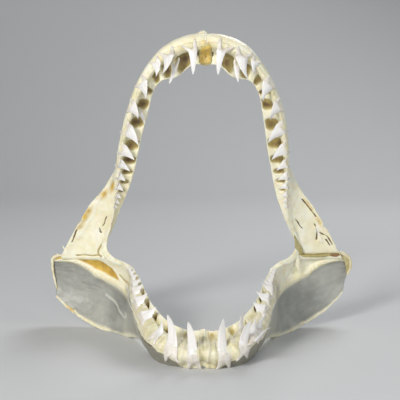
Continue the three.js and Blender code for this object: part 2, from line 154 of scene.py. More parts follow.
TEETH = {half: [Tooth(*row) for row in rows] for half, rows in TEETH.items()}
ROOT_SHARE = 0.3
TOOTH_THICKNESS = 0.34
SEEDS = {"upper_right": 3, "upper_left": 11, "lower_right": 23, "lower_left": 31}

# ---- details of the dried surfaces
# A station counts along a half from 0 at the midline to the jaw joint, at 12 below and 13 above. A place goes
# round the section: 0 the tooth edge, 0.4 the far edge, 0.8 the rim of the tooth trough, 0.9 its middle.
# Files of teeth whose front tooth is lost: run along the tooth edge, width.
EMPTY_FILES = {
    "upper_right": [(0, 9)], "upper_left": [(0, 9)],
    "lower_right": [(4.5, 3), (20, 5), (41, 6), (65, 8)],
    "lower_left": [(5, 4), (11, 4), (31, 7), (80, 7)],
}
# Pockets that open between the files of the tooth trough: run, place, half length, depth, which also sets
# their painted shade.
POCKETS = {
    "upper_right": [
        (7, 0.905, 1.6, 2.5), (24.5, 0.878, 9.5, 4.3), (44, 0.885, 5, 2.9), (60, 0.885, 5, 2.5),
        (83, 0.885, 5.5, 2.2), (103, 0.9, 6.5, 2.2), (124, 0.9, 6.5, 2.2), (149, 0.887, 6, 2.2),
        (166, 0.89, 4.5, 2.2), (179, 0.89, 3, 1.8), (190, 0.89, 2.6, 1.4), (200, 0.89, 2.2, 1.1)],
    "upper_left": [
        (6.5, 0.9, 1.6, 2.5), (25, 0.875, 8, 4), (46, 0.885, 5.5, 3.2), (66, 0.88, 5, 2.5),
        (86, 0.88, 5, 2.2), (103, 0.87, 6.5, 2.2), (126, 0.885, 6.5, 2.2), (147, 0.895, 6, 2.2),
        (165, 0.905, 5, 2.2), (178, 0.9, 3, 1.8), (189, 0.9, 2.6, 1.4), (199, 0.9, 2.2, 1.1)],
    "lower_right": [
        (20, 0.842, 5, 2.6), (49, 0.885, 4.5, 4.5), (76, 0.883, 6, 5), (101, 0.883, 7, 5),
        (122, 0.886, 6, 4.5), (135, 0.886, 3, 3), (146, 0.88, 3, 2)],
    "lower_left": [
        (10, 0.842, 4.5, 2.6), (38, 0.852, 5, 3.2), (62, 0.895, 3, 3.5), (93, 0.873, 7, 4.5),
        (112, 0.88, 5, 4), (124, 0.885, 3, 3), (136, 0.885, 2.6, 2)],
}
FULL_SHADE_DEPTH = {"upper": 1.5, "lower": 6.0}  # the depth at which a pocket's painted shade is darkest
POCKET_HEIGHT = {"upper": 7.0, "lower": 4.6}
GUM_FROM = {"upper": 0.955, "lower": 0.85}
GUM_RIB = {"upper": 0.3, "lower": 1.5}  # how far the gum stands out between the front teeth
RAMP = {"upper": 0.0, "lower": 2.4}  # how far gum fills the trough in front of the pockets
BED_EDGE = {  # stations, and the place down to which the gum bed covers the outer face
    "upper": ((0, 12), (0.05, 0.045)),
    "lower": ((0, 1.0, 1.3, 1.6, 2.1, 2.8, 3.6, 4.5, 6, 7.6, 8.6),
              (0.47, 0.42, 0.31, 0.24, 0.18, 0.165, 0.21, 0.15, 0.12, 0.10, 0.04)),
}
BED_THICK = 0.7
BED_GROOVES = 0.45
BED_RAGGED = 0.014  # how far the bed's lower edge strays, as a share of the way round
BED_END = (-4, 8)  # the bed ends between these distances behind the last tooth
FILE_WIDTH = (0.32, 0.8)  # half width of a file of teeth: share of the tooth's, and millimetres on top
FILE_HEIGHT = 0.3
POCKET_LIP = (0.93, 0.97)  # places over which pockets run out towards the tooth edge
POCKET_WALL = (0.12, 0.6)
GUM_TO, GUM_SOFT = 1.03, 0.02
FRONT_END = (2.2, 3.4)  # stations over which the jaws' broad front ends
RAMP_PLACES = (0.875, 0.965, 0.035)  # from, to, softness
# The wings: stations and places between which their parts begin and end.
WING_BEGIN, WING_BEHIND_RIDGE = (7.2, 8.3), (2.0, 6.0)
BLADE_END, RIDGE_END = (0.368, 0.392), (11.3, 11.9)
WING_INSIDE, WING_RIM = (0.50, 0.74, 0.02), (0.374, 0.445, 0.012)
RAMUS_BEGIN, RAMUS_END, RAMUS_PLACES = (4.2, 5.2), (8.0, 8.6), (0.15, 0.37, 0.02)
RIDGE_HEIGHT, BLADE_DEPTH, STREAK_HEIGHT = 1.7, 0.9, 0.28
RAMUS_GREY, INSIDE_GREY = 0.85, 0.9  # how grey they are beside the blade
BUCKLE_BEGIN = (7.6, 9.5)
CHIN_LOBE_END, CHIN_LOBE_PLACES = (5.2, 1.5), (0.05, 0.6, 0.03)  # station and stretch; from, to, softness
PLATE_EDGE, PLATE_BEGIN, PLATE_WEAR = (0.34, 0.47, 0.03), (7.0, 9.0), 0.7
RIDGE = ((8.2, 9.05, 9.65, 10.33, 10.85, 11.3, 12.0), (0.20, 0.181, 0.173, 0.15, 0.088, 0.045, 0.0))
RIDGE_WIDTH = 3.2
# The see-through skin at each corner of the mouth: its edge at each station, how far it lies in, its stain.
PANE_CORNER = ((8.85, 9.15, 9.5, 10.0, 10.6), (0.168, 0.137, 0.098, 0.05, 0.015))
PANE_DEPTH = 1.3
PANE_STAIN = {"right": 1.0, "left": 0.12}
RIM_ROLL = {"right": 1.0, "left": 0.5}  # how strongly the lower rim of each wing is rolled
WING_WARP = 1.5  # how far the dried wings buckle

# Amber and olive stains: run, place, half length, half height, strength.
STAINS = {
    "upper_right": [
        (197, 0.19, 7, 5, 1.1), (206, 0.31, 7, 5, 1.0), (232, 0.365, 10, 4, 0.95), (247, 0.355, 5, 3.5, 0.7),
        (12, 0.24, 16, 6, 0.35), (1, 0.03, 6, 6, 0.7), (1, 0.93, 7, 9, 0.42), (268, 0.02, 9, 3.5, 0.6),
        (215, 0.03, 12, 2.5, 0.3)],
    "upper_left": [
        (30, 0.26, 22, 6, 0.3), (1, 0.03, 7, 6, 0.7), (1, 0.93, 7, 9, 0.42), (196, 0.20, 6, 3, 0.45),
        (222, 0.345, 16, 2, 0.6), (240, 0.36, 12, 1.8, 0.6), (262, 0.05, 10, 4, 0.55),
        (12, 0.14, 10, 4, 0.3)],
    "lower_right": [
        (20, 0.842, 5, 3, 0.55), (237, 0.01, 7, 3, 0.8), (176, 0.135, 11, 1.3, 0.9),
        (254, 0.385, 8, 2.2, 0.8), (88, 0.24, 12, 4, 0.2)],
    "lower_left": [
        (10, 0.842, 5, 3, 0.55), (38, 0.852, 5, 3, 0.5), (232, 0.0, 9, 2.5, 0.75),
        (250, 0.005, 9, 2.5, 0.85), (170, 0.14, 8, 3, 0.3), (222, 0.16, 12, 1.5, 0.35)],
}
# Raised folds, lit along their crests with a painted highlight: height, width, line of (station, place).
FOLDS = {
    "upper_right": [
        (0.8, 2.2, [(9.4, 0.33), (10.4, 0.3), (11.4, 0.32)]),
        (0.6, 1.6, [(10.9, 0.2), (11.9, 0.12)])],
    "upper_left": [
        (1.0, 1.6, [(11.0, 0.31), (11.35, 0.30), (11.6, 0.29)]),
        (0.6, 2.0, [(9.2, 0.1), (10.6, 0.08)])],
    "lower_right": [
        (1.1, 1.0, [(8.3, 0.15), (7.7, 0.18), (7.1, 0.204), (6.0, 0.18), (5.0, 0.15), (4.1, 0.13)]),
        (0.7, 1.25, [(9.7, 0.248), (9.35, 0.256), (9.1, 0.262), (8.9, 0.272), (8.7, 0.288), (8.5, 0.296),
                     (8.2, 0.306), (8.1, 0.298), (8.25, 0.285)]),
        (0.35, 1.2, [(11.1, 0.228), (10.6, 0.236), (10.2, 0.233), (9.7, 0.24)]),
        (0.3, 1.2, [(11.0, 0.243), (10.5, 0.25), (10.0, 0.246)]),
        (0.3, 1.2, [(10.8, 0.21), (10.3, 0.214), (9.9, 0.222)])],
    "lower_left": [
        (0.9, 1.1, [(7.9, 0.17), (6.6, 0.17), (5.4, 0.14)]),
        (0.3, 1.2, [(10.8, 0.24), (10.4, 0.252), (10.0, 0.257)]),
        (0.3, 1.6, [(11.4, 0.3), (11.0, 0.31), (10.5, 0.305)])],
}
# How strongly the grooves take the pockets' olive and painted shade; their olive is partly painted shadow.
GROOVE_OLIVE_AND_SHADE = 0.55
# Olive grooves, partly olive tissue and partly painted shadow along the plates' margins: width, depth, line of
# (station, place).
GROOVES = {
    "upper_right": [
        (1.5, 1.0, [(12.75, 0.05), (12.62, 0.1), (12.78, 0.16), (12.66, 0.22), (12.8, 0.28)]),
        (2.6, 1.0, [(11.3, 0.045), (11.8, 0.07), (12.3, 0.08), (12.8, 0.075)])],
    "upper_left": [(2.6, 1.6, [(12.3, 0.03), (12.6, 0.12), (12.65, 0.25), (12.6, 0.38)])],
    "lower_right": [
        (1.4, 1.0, [(9.05, 0.125), (8.75, 0.137), (8.45, 0.148), (8.05, 0.152)])],
    "lower_left": [],
}
# Cracks in the plates: lines of (station, place).
CRACKS = {
    "upper_right": [
        [(10.5, 0.155), (10.62, 0.162), (10.78, 0.155), (10.92, 0.166)],
        [(11.0, 0.19), (11.15, 0.17), (11.2, 0.15)], [(9.5, 0.06), (9.7, 0.075), (9.9, 0.06)],
        [(11.1, 0.37), (11.6, 0.355)]],
    "upper_left": [
        [(10.6, 0.15), (10.72, 0.165), (10.93, 0.175), (11.02, 0.19)],
        [(10.85, 0.31), (11.15, 0.3), (11.5, 0.26)], [(9.6, 0.315), (10.0, 0.33), (10.5, 0.352)],
        [(11.2, 0.31), (11.3, 0.335), (11.34, 0.355), (11.7, 0.365)], [(11.5, 0.335), (11.75, 0.34)]],
    "lower_right": [[(7.9, 0.14), (7.5, 0.12), (7.2, 0.125)], [(2.9, 0.2), (3.4, 0.23), (3.8, 0.2)]],
    "lower_left": [[(6.8, 0.15), (6.2, 0.12)]],
}
CRACK_WIDTH = 1.5
CRACK_DEPTH = 0.7
NOTCHES = {  # bites out of the plates' edges: run, place, half length, half height
    "upper_right": [(240, 0.4, 3, 5)], "upper_left": [(246, 0.4, 2, 5)],
    "lower_right": [(161, 0.4, 3, 9), (170, 0.4, 1.6, 7), (246, 0.4, 2, 6)],
    "lower_left": [(205, 0.4, 3, 6)],
}
NOTCH_DEPTH = 3.0

# Straps of dried ligament on one half: tone (0 cream, 0.5 olive, 0.75 amber, 1 brown), the way they face, and
# the path as points with a width and a thickness.
FORWARDS = (0, -1, 0)
GRISTLE = {
    "both": [
        (0.07, (0.5, -0.86, 0), [
            (84, 61.5, 73.5, 3, 1), (92, 69, 75.5, 6, 1.8), (99.5, 75.5, 79, 8, 2.4), (104, 79.5, 85, 8, 2.6),
            (104.5, 79.8, 92, 7, 2.4), (102, 77, 101, 5, 2), (98.5, 72.5, 110, 4, 1.6),
            (95.5, 69, 119, 1, 0.8)]),
    ],
    "right": [
        (0.8, FORWARDS, [
            (120, 88, 76, 2, 1.6), (131, 93, 75.5, 3, 2.4), (142, 98, 75, 3, 2.4), (153, 102, 73.5, 3, 2.4),
            (164, 105, 71, 2.5, 2)]),
        (0.1, FORWARDS, [(146, 95, 82, 4, 1.5), (149.5, 94.5, 85, 2.2, 1), (151, 94, 89, 0.4, 0.3)]),
        (0.14, FORWARDS, [(151, 99, 76, 3.6, 1.5), (156.5, 99, 77, 2, 1), (160, 99, 79, 0.4, 0.3)]),
        (0.16, FORWARDS, [
            (150, 98, 77, 3, 2.6), (160, 103, 75, 4, 3.6), (165, 105, 71, 3.6, 3.6), (166, 105.5, 63, 3, 3.4),
            (165, 105, 54, 2.6, 3.2), (163, 104.5, 45, 2.2, 2.6), (160.5, 103, 36, 1.2, 1.2)]),
    ],
    "left": [
        (0.2, FORWARDS, [
            (145, 97, 77.5, 3.5, 3), (152, 99.5, 79, 4.6, 3.6), (159, 102.5, 76, 5.2, 3.8),
            (163, 104.5, 69, 4.8, 3.4), (162.5, 104.5, 61, 3.6, 2.8), (159, 103, 53, 1.4, 1.2)]),
        (0.4, FORWARDS, [
            (149, 98.5, 75, 4, 2.4), (154, 101, 75, 5.5, 3), (159, 103, 71, 5.5, 3), (160, 103.5, 63, 4, 2.4),
            (159, 103, 57, 1, 1)]),
        # An olive strap along the plate's inner margin, standing for the olive band there: partly olive
        # tissue, partly painted shadow.
        (0.5, (0.3, -0.95, 0), [
            (99.5, 74, 105, 1, 0.8), (103, 77.5, 96, 4.5, 1.6), (105.5, 79.5, 88, 8, 2.2),
            (109, 82, 81, 8, 2)]),
        (0.5, FORWARDS, [
            (108, 82.5, 79.5, 3.4, 2), (120, 86.5, 78.5, 3, 2), (132, 90.5, 78, 3, 2), (143, 94.5, 79, 3, 2)]),
        (1.1, FORWARDS, [(140, 92.8, 78.2, 2.2, 1.6), (147, 95, 77.5, 3.6, 2.2), (155, 98.6, 76.4, 3.6, 2.4)]),
        (0.1, FORWARDS, [
            (102.5, 78, 84, 5, 1.8), (103, 78.5, 76, 5.5, 2), (103.4, 79.3, 68, 4, 1.6),
            (104, 80.8, 60, 1, 0.6)]),
    ],
}
STRAP_SEED = 60
STRAP_STEPS, STRAP_ROUND = 40, 16  # sections along a strap, and points round one
STRAP_LUMPS, LUMP_SIZE = 0.35, 5.0
STRAP_TAPER = 0.35  # the part of the first and last stretch over which a strap rounds off
# The band at the midline has a pad: first and last place, half width, height, tone.
MIDLINE = {"upper": (0.76, 1.07, 6.8, 1.7, 0.68), "lower": (0.74, 1.0, 2.6, 0.5, 0.04)}
BAND_HALF, BAND_HEIGHT, BAND_ROUND = 1.1, 0.3, 14
NUB_AT = np.array([-3.0, 30.0, 316.2])
NUB_SIZE = np.array([5.0, 4.0, 3.8])

LOFT_RINGS = 400  # sections along one half
RING_POINTS = 240  # points round a section, 24 between two control points
END_RINGS = 7  # rings that round off the jaw-joint end
END_REACH = {  # how far the rounded end reaches past the last section, at the far edge and at the tooth edge
    "upper_right": (4.0, 4.0), "upper_left": (4.0, 4.0), "lower_right": (2.5, 3.5), "lower_left": (2.5, 0.8)}
EDGE_MIDDLES = (0.45, 0.90)  # places of the far edge's middle and of the trough's
# For each point round a section, the one that lies across from it.
MATE = (np.round(EDGE_MIDDLES[1] * RING_POINTS) - np.arange(RING_POINTS)).astype(int) % RING_POINTS


# ---- small maths
def smoothstep(a, b, x):
    t = np.clip((np.asarray(x, float) - a) / (b - a), 0.0, 1.0)
    return t * t * (3.0 - 2.0 * t)


def bell(x, middle, width):
    return np.exp(-(((np.asarray(x, float) - middle) / width) ** 2))


def unit(a):
    return a / np.maximum(np.linalg.norm(a, axis=-1, keepdims=True), 1e-9)


def hashed(ix, iy, iz, seed):
    h = (ix * 374761393 + iy * 668265263 + iz * 2147483647 + seed * 974634777) & 0xFFFFFFFF
    h = ((h ^ (h >> 13)) * 1274126177) & 0xFFFFFFFF
    return ((h ^ (h >> 16)) & 0xFFFF) / 32767.5 - 1.0


def noise(p, size, seed=0):
    """Smooth noise between -1 and 1 at points p, with lumps of the given size."""
    q = np.asarray(p, float) / size
    i = np.floor(q).astype(np.int64)
    f = q - i
    f = f * f * (3.0 - 2.0 * f)
    total = 0.0
    for dx in (0, 1):
        for dy in (0, 1):
            for dz in (0, 1):
                weight = np.abs(1 - dx - f[..., 0]) * np.abs(1 - dy - f[..., 1])
                weight = weight * np.abs(1 - dz - f[..., 2])
                total = total + weight * hashed(i[..., 0] + dx, i[..., 1] + dy, i[..., 2] + dz, seed)
    return total


def layered(p, size, seed=0, octaves=3):
    return sum(noise(p, size / 2 ** k, seed + 17 * k) / 2 ** k for k in range(octaves))


def through(values, u, before):
    """Catmull-Rom through rows of values at positions u, with a phantom row before the first."""
    v = np.asarray(values, float)
    last = len(v) - 1
    i = np.minimum(np.floor(u).astype(int), last - 1)
    t = (u - i)[:, None]
    p1, p2 = v[i], v[i + 1]
    p0 = np.where((i > 0)[:, None], v[np.maximum(i - 1, 0)], np.asarray(before, float))
    p3 = np.where((i + 2 <= last)[:, None], v[np.minimum(i + 2, last)], 2 * p2 - p1)
    return 0.5 * (2 * p1 + (p2 - p0) * t + (2 * p0 - 5 * p1 + 4 * p2 - p3) * t ** 2
                  + (3 * p1 - p0 - 3 * p2 + p3) * t ** 3)


def skew_at(z):
    z = np.asarray(z, float)
    out = np.full(z.shape, float(SKEW[-1][1]))
    for (z0, a), (z1, b) in zip(SKEW, SKEW[1:]):
        here = (z >= z0) & (z < z1)
        t = (z - z0) / (z1 - z0)
        out = np.where(here, a + (b - a) * t * t * (3 - 2 * t), out)
    return np.where(z < SKEW[0][0], SKEW[0][1], out)


def to_part(p, side):
    """From a half's own +x space to the part's frame."""
    q = np.array(p, float)
    q[..., 0] = q[..., 0] * (-1 if side == "right" else 1) + skew_at(q[..., 2])
    return q + FRAME_SHIFT


# ---- frames along a half
def stations_of(jaw, side):
    rows = UPPER if jaw == "upper" else LOWER
    if jaw == "upper":
        return rows
    first = len(rows) - WING_FROM
    out = []
    for i, (tooth, rim, far, bulge, wall, edge) in enumerate(rows):
        share = max(0.0, (i - first) / (len(rows) - 1 - first))
        far = (far[0] - WING_TRIM[side] * share, far[1], far[2] + WING_RISE[side] * share)
        out.append((tooth, rim, far, bulge, wall, edge))
    return out


def frames(stations, u):
    u = np.atleast_1d(np.asarray(u, float))
    mirror = np.array([-1.0, 1.0, 1.0])

    def rail(k, at):
        rows = [s[k] for s in stations]
        return through(rows, at, np.array(rows[1]) * mirror)

    def size(k):
        rows = [[s[k]] for s in stations]
        return through(rows, u, rows[1])

    last = len(stations) - 1
    tooth, rim, far = (rail(k, u) for k in range(3))
    ahead, behind = np.minimum(u + 0.05, last), np.maximum(u - 0.05, 0)
    along = unit(rail(0, ahead) + rail(2, ahead) - rail(0, behind) - rail(2, behind))
    along[u < 1e-6] = (1.0, 0.0, 0.0)
    across = unit(far - tooth)
    labial = unit(np.cross(along, across))
    labial *= np.sign(np.sum(labial * (tooth - rim), axis=1, keepdims=True))
    return dict(tooth=tooth, rim=rim, far=far, along=along, across=across, labial=labial,
                bulge=size(3), wall=size(4), edge=size(5))


def rings(f):
    """Closed sections through ten control points, centripetal."""
    width = np.linalg.norm(f["far"] - f["tooth"], axis=1, keepdims=True)
    bulge, wall, edge = f["bulge"], f["wall"], f["edge"]
    gap = np.linalg.norm(f["rim"] - f["tooth"], axis=1, keepdims=True)

    def at(w, n):
        return f["tooth"] + f["across"] * w * width + f["labial"] * n

    control = np.stack([
        f["tooth"], *(at(share, out * bulge) for share, out in OUTER_FACE),
        f["far"] + f["labial"] * FAR_EDGE[0] * edge, f["far"] - f["labial"] * FAR_EDGE[1] * edge,
        at(INNER_FACE[0], INNER_FACE[1] * bulge - wall),
        f["rim"] + f["across"] * np.minimum(RIM_LIP[0] * width, RIM_LIP[1]), f["rim"],
        (f["tooth"] + f["rim"]) / 2 + f["across"] * np.minimum(TROUGH[0] * gap, TROUGH[1])], axis=1)
    n, per = control.shape[1], RING_POINTS // control.shape[1]
    t = (np.arange(per) / per)[None, :, None]
    out = []
    for i in range(n):
        p = [control[:, (i + k) % n][:, None, :] for k in (-1, 0, 1, 2)]
        chords = [np.linalg.norm(p[k + 1] - p[k], axis=2, keepdims=True) for k in range(3)]
        d = [np.maximum(chord ** 0.5, 1e-4) for chord in chords]
        m1 = ((p[1] - p[0]) / d[0] - (p[2] - p[0]) / (d[0] + d[1]) + (p[2] - p[1]) / d[1]) * d[1]
        m2 = ((p[2] - p[1]) / d[1] - (p[3] - p[1]) / (d[1] + d[2]) + (p[3] - p[2]) / d[2]) * d[1]
        out.append(p[1] + m1 * t + (-3 * p[1] + 3 * p[2] - 2 * m1 - m2) * t ** 2
                   + (2 * p[1] - 2 * p[2] + m1 + m2) * t ** 3)
    return np.concatenate(out, axis=1)


def edge_runs(stations, count=1200):
    """Distance run along the tooth edge against u."""
    u = np.linspace(0, len(stations) - 1, count)
    p = frames(stations, u)["tooth"]
    run = np.concatenate([[0], np.cumsum(np.linalg.norm(np.diff(p, axis=0), axis=1))])
    return u, run


# ---- mesh making
def mesh_object(name, points, faces, fields):
    """A smooth object from points in mm, with fields that its material reads."""
    mesh = bpy.data.meshes.new(name)
    mesh.from_pydata((np.asarray(points) * MM).tolist(), [], faces)
    for key, values in fields.items():
        layer = mesh.attributes.new(key, "FLOAT", "POINT")
        layer.data.foreach_set("value", np.asarray(values, np.float32).ravel())
    mesh.polygons.foreach_set("use_smooth", [True] * len(mesh.polygons))
    mesh.update()
    return add_object(name, mesh)


def grid_faces(rows, columns):
    """Quads between rows of points that run round and close."""
    r, c = np.meshgrid(np.arange(rows - 1), np.arange(columns), indexing="ij")
    a, b = r * columns + c, r * columns + (c + 1) % columns
    return np.stack([a, b, b + columns, a + columns], axis=-1).reshape(-1, 4).tolist()


def merged(parts):
    """Points and faces of several meshes as one."""
    points, faces = [], []
    for part, part_faces in parts:
        base = sum(len(a) for a in points)
        points.append(part)
        faces += [[i + base for i in face] for face in part_faces]
    return np.concatenate(points), faces


def fix_normals(obj, weld=0.0):
    bm = bmesh.new()
    bm.from_mesh(obj.data)
    if weld:
        bmesh.ops.remove_doubles(bm, verts=bm.verts, dist=weld)
    bmesh.ops.recalc_face_normals(bm, faces=bm.faces)
    bm.to_mesh(obj.data)
    bm.free()
    obj.data.update()


def grid_normals(p):
    du = np.gradient(p, axis=0)
    dv = np.roll(p, -1, axis=1) - np.roll(p, 1, axis=1)
    n = unit(np.cross(du, dv))
    middle = p.mean(axis=1, keepdims=True)
    if np.sum(n * (p - middle)) < 0:
        n = -n
    return n


# ---- places on the skin
def surface_map(stations, u, p):
    """Millimetres along the tooth edge and round the section, for every point of a half's grid."""
    table_u, table_run = edge_runs(stations)
    girth = np.linalg.norm(np.roll(p, -1, axis=1) - p, axis=2).sum(axis=1)[:, None]
    return SimpleNamespace(
        u=u[:, None], run=np.interp(u, table_u, table_run)[:, None], girth=girth,
        place=(np.arange(RING_POINTS) / RING_POINTS)[None, :],
        run_at=lambda station: np.interp(station, table_u, table_run))


def round_way(place, middle):
    """The shorter way round the section from a middle to a place; places run from 0 to 1 and wrap."""
    return (place - middle + 0.5) % 1.0 - 0.5


def round_from(skin, place):
    """Distance round the section from a place, in mm."""
    return round_way(skin.place, place) * skin.girth


def window(skin, a, b, soft):
    """1 between places a and b round the section, with soft ends."""
    middle, half = (a + b) / 2, (b - a) / 2
    away = np.abs(round_way(skin.place, middle))
    return 1.0 - smoothstep(0.0, 1.0, (away - half + soft) / (2 * soft))


def spot(skin, run, place, length, height):
    return np.exp(-((skin.run - run) / length) ** 2 - (round_from(skin, place) / height) ** 2)


def line(skin, points, width):
    """1 on a line through (station, place) points, fading over a width in mm."""
    nearest = np.full((len(skin.run), RING_POINTS), 1e9)
    for (s0, v0), (s1, v1) in zip(points, points[1:]):
        ax = skin.run - skin.run_at(s0)
        ay = round_from(skin, v0)
        dx = skin.run_at(s1) - skin.run_at(s0)
        dy = (v1 - v0) * skin.girth
        t = np.clip((ax * dx + ay * dy) / (dx * dx + dy * dy + 1e-6), 0.0, 1.0)
        nearest = np.minimum(nearest, np.hypot(ax - t * dx, ay - t * dy))
    return np.exp(-((nearest / width) ** 2))


def surface_noise(along, across, size, seed):
    """Noise that follows the surface, from distances along the half and round the section."""
    return noise(np.stack(np.broadcast_arrays(along, across, 0.0 * across), axis=-1), size, seed)


def marks(skin, rows, make):
    """The strongest of several marks at each point."""
    total = np.zeros((len(skin.run), RING_POINTS))
    for row in rows:
        total = np.maximum(total, make(row))
    return total


# ---- cartilage
def tooth_files(key, skin):
    """1 along each file of teeth, 0 between the files."""
    total = empty_files(key, skin, 0.5)
    for tooth in TEETH[key]:
        if tooth.back <= 0:
            total = np.maximum(total, bell(skin.run, tooth.at, FILE_WIDTH[0] * tooth.width + FILE_WIDTH[1]))
    return total


def empty_files(key, skin, share):
    """1 along each file without a front tooth, over a share of its width."""
    total = np.zeros_like(skin.run)
    for at, width in EMPTY_FILES[key]:
        total = np.maximum(total, bell(skin.run, at, share * width))
    return total


def pocket_fields(jaw, key, skin, toothed):
    """How deep the pockets of the tooth trough are, and how dark: painted shade that grows with their depth.
    """
    def hollow(row):
        run, place, length, _ = row
        return spot(skin, run, place, length, min(POCKET_HEIGHT[jaw], 1.5 * length))

    dark = marks(skin, POCKETS[key], lambda row: min(1.0, row[3] / FULL_SHADE_DEPTH[jaw]) * hollow(row))
    depth = marks(skin, POCKETS[key], lambda row: row[3] * smoothstep(*POCKET_WALL, hollow(row)))
    lip = 1.0 - smoothstep(*POCKET_LIP, skin.place)
    return dark * toothed ** 2, lip * depth * toothed


def bed_fields(jaw, key, skin, p, seed):
    """The gum bed that the roots sit in: its pockets, where it lies, and how high it stands."""
    last_tooth = TEETH[key][-1].at
    toothed = 1.0 - smoothstep(*BED_END, skin.run - last_tooth)
    pocket_tint_and_shade, depth = pocket_fields(jaw, key, skin, toothed)
    edge = np.interp(skin.u, *BED_EDGE[jaw]) + BED_RAGGED * layered(p, 9, seed + 2)
    bed = toothed * (1.0 - smoothstep(-0.008, 0.008, skin.place - edge)) * (skin.place < 0.5)
    bed = np.maximum(bed, toothed * window(skin, GUM_FROM[jaw], GUM_TO, GUM_SOFT))
    grooves = surface_noise(skin.run, skin.place * skin.girth * 0.16, 2.3, seed + 4)
    front = 1.0 - smoothstep(*FRONT_END, skin.u)
    ribs = GUM_RIB[jaw] * front * empty_files(key, skin, 0.55)
    files = FILE_HEIGHT * tooth_files(key, skin)
    height = bed * (BED_THICK + files + ribs + BED_GROOVES * grooves)
    ramp = RAMP[jaw] * front * window(skin, *RAMP_PLACES)
    return pocket_tint_and_shade, bed, height + ramp - depth


def wing_fields(side, skin, p, seed):
    """The thin blade at the back of the lower jaw: blade, its ridge, its rolled edge, and their height."""
    wing = smoothstep(*WING_BEGIN, skin.u)
    ridge_place = np.interp(skin.u, *RIDGE)
    outer = (skin.place < 0.5) * (skin.place > ridge_place)
    beyond = smoothstep(*WING_BEHIND_RIDGE, (skin.place - ridge_place) * skin.girth)
    blade = wing * outer * beyond * (1.0 - smoothstep(*BLADE_END, skin.place))
    ridge = wing * bell(round_from(skin, ridge_place), 0, RIDGE_WIDTH) * (1.0 - smoothstep(*RIDGE_END, skin.u))
    inner = wing * window(skin, *WING_INSIDE)
    roll = RIM_ROLL[side] * wing * window(skin, *WING_RIM)
    slanting = skin.place * skin.girth + 0.25 * skin.run
    streaks = surface_noise(skin.run * 0.22, slanting, 3.6, seed + 8)
    height = RIDGE_HEIGHT * ridge - BLADE_DEPTH * blade + STREAK_HEIGHT * streaks * blade
    height = height + roll * (0.55 + 0.45 * noise(p, 3.5, seed + 9))
    ramus = smoothstep(*RAMUS_BEGIN, skin.u) * (1.0 - smoothstep(*RAMUS_END, skin.u))
    ramus = ramus * window(skin, *RAMUS_PLACES)
    grey = np.maximum(np.maximum(blade, RAMUS_GREY * ramus), INSIDE_GREY * inner)
    return grey, ridge, roll, height


def window_pane(skin):
    """The see-through amber skin between the ridge and the corner of the mouth."""
    ridge_place = np.interp(skin.u, *RIDGE)
    along = smoothstep(8.75, 8.9, skin.u) * (1.0 - smoothstep(10.8, 11.3, skin.u))
    low = ((ridge_place - skin.place) * skin.girth - RIDGE_WIDTH) / 2.0
    low_side = np.clip(low, 0.0, 1.0) * (skin.place < 0.5)
    high_side = smoothstep(0.0, 0.012, skin.place - np.interp(skin.u, *PANE_CORNER))
    return along * low_side * high_side


def chin_lobe(jaw, skin, bed):
    """The bare lobes of the chin below the gum bed, which the material darkens as painted shade."""
    if jaw == "upper":
        return np.zeros_like(bed)
    station, stretch = CHIN_LOBE_END
    return smoothstep(0.0, 1.0, (station - skin.u) / stretch) * window(skin, *CHIN_LOBE_PLACES) * (1.0 - bed)


def skin_fields(jaw, side, skin, p, seed):
    """How far the skin is lifted, and the fields that its material reads."""
    key = jaw + "_" + side
    pocket_tint_and_shade, bed, lift = bed_fields(jaw, key, skin, p, seed)
    lift = lift + 0.5 * layered(p, 26, seed) + 0.2 * layered(p, 6, seed + 5, 2)
    crack_width = CRACK_WIDTH * (1.0 + 0.5 * noise(p, 4, seed))
    cracks = marks(skin, CRACKS[key], lambda points: line(skin, points, crack_width))
    folds = marks(skin, FOLDS[key], lambda row: row[0] * line(skin, row[2], row[1]))
    grooves = marks(skin, GROOVES[key], lambda row: line(skin, row[2], row[0]))
    groove_depth = marks(skin, GROOVES[key], lambda row: row[1] * line(skin, row[2], row[0]))
    lift = lift + folds - CRACK_DEPTH * cracks ** 3 - groove_depth
    stain = marks(skin, STAINS[key], lambda row: row[4] * spot(skin, *row[:4]))
    stain = stain * (0.85 + 0.35 * noise(p, 5, seed + 6))
    blade = ridge = roll = np.zeros_like(stain)
    if jaw == "lower":
        blade, ridge, roll, wing_lift = wing_fields(side, skin, p, seed)
        pane = window_pane(skin)
        stain = np.maximum(stain, PANE_STAIN[side] * pane)
        lift = lift + wing_lift - PANE_DEPTH * pane
    # The pocket colouring also carries the grooves, whose olive is partly painted shadow.
    return lift, dict(
        pocket_tint_and_shade=np.maximum(pocket_tint_and_shade, GROOVE_OLIVE_AND_SHADE * grooves), bed=bed, blade=blade, ridge=np.maximum(ridge, roll),
        stain=stain, crack=cracks, lobe=chin_lobe(jaw, skin, bed), fold=folds, run=skin.run / 100.0,
        across=skin.place)


def edge_wear(key, skin, p, seed):
    """How far the plates' free edges stand in or out: worn, with notches."""
    free = window(skin, *PLATE_EDGE) * smoothstep(*PLATE_BEGIN, skin.u)
    notches = marks(skin, NOTCHES[key], lambda row: spot(skin, *row))
    return free * (PLATE_WEAR * layered(p, 7, seed + 12) - NOTCH_DEPTH * notches)


def joint_end(end, along, skin, reach):
    """Rings that close the last section onto its own middle line, at the jaw joint."""
    middle = (end + end[MATE]) / 2
    from_far = np.abs(round_way(skin.place[0], EDGE_MIDDLES[0]))
    out = np.interp(from_far, (0.05, 0.45), reach)[:, None] * along
    angles = np.arange(1, END_RINGS + 1) / END_RINGS * math.pi / 2
    return np.array([middle + (end - middle) * math.cos(a) + out * math.sin(a) for a in angles])


def midline_faces():
    """The flat end at the midline: strips between each point and its mate across the section."""
    faces = []
    for i in range(RING_POINTS):
        i2 = (i + 1) % RING_POINTS
        j, j2 = MATE[i], MATE[i2]
        if i < j and i2 <= j2 and i2 != j:
            faces.append(list(dict.fromkeys([i, i2, j2, j])))
    return faces


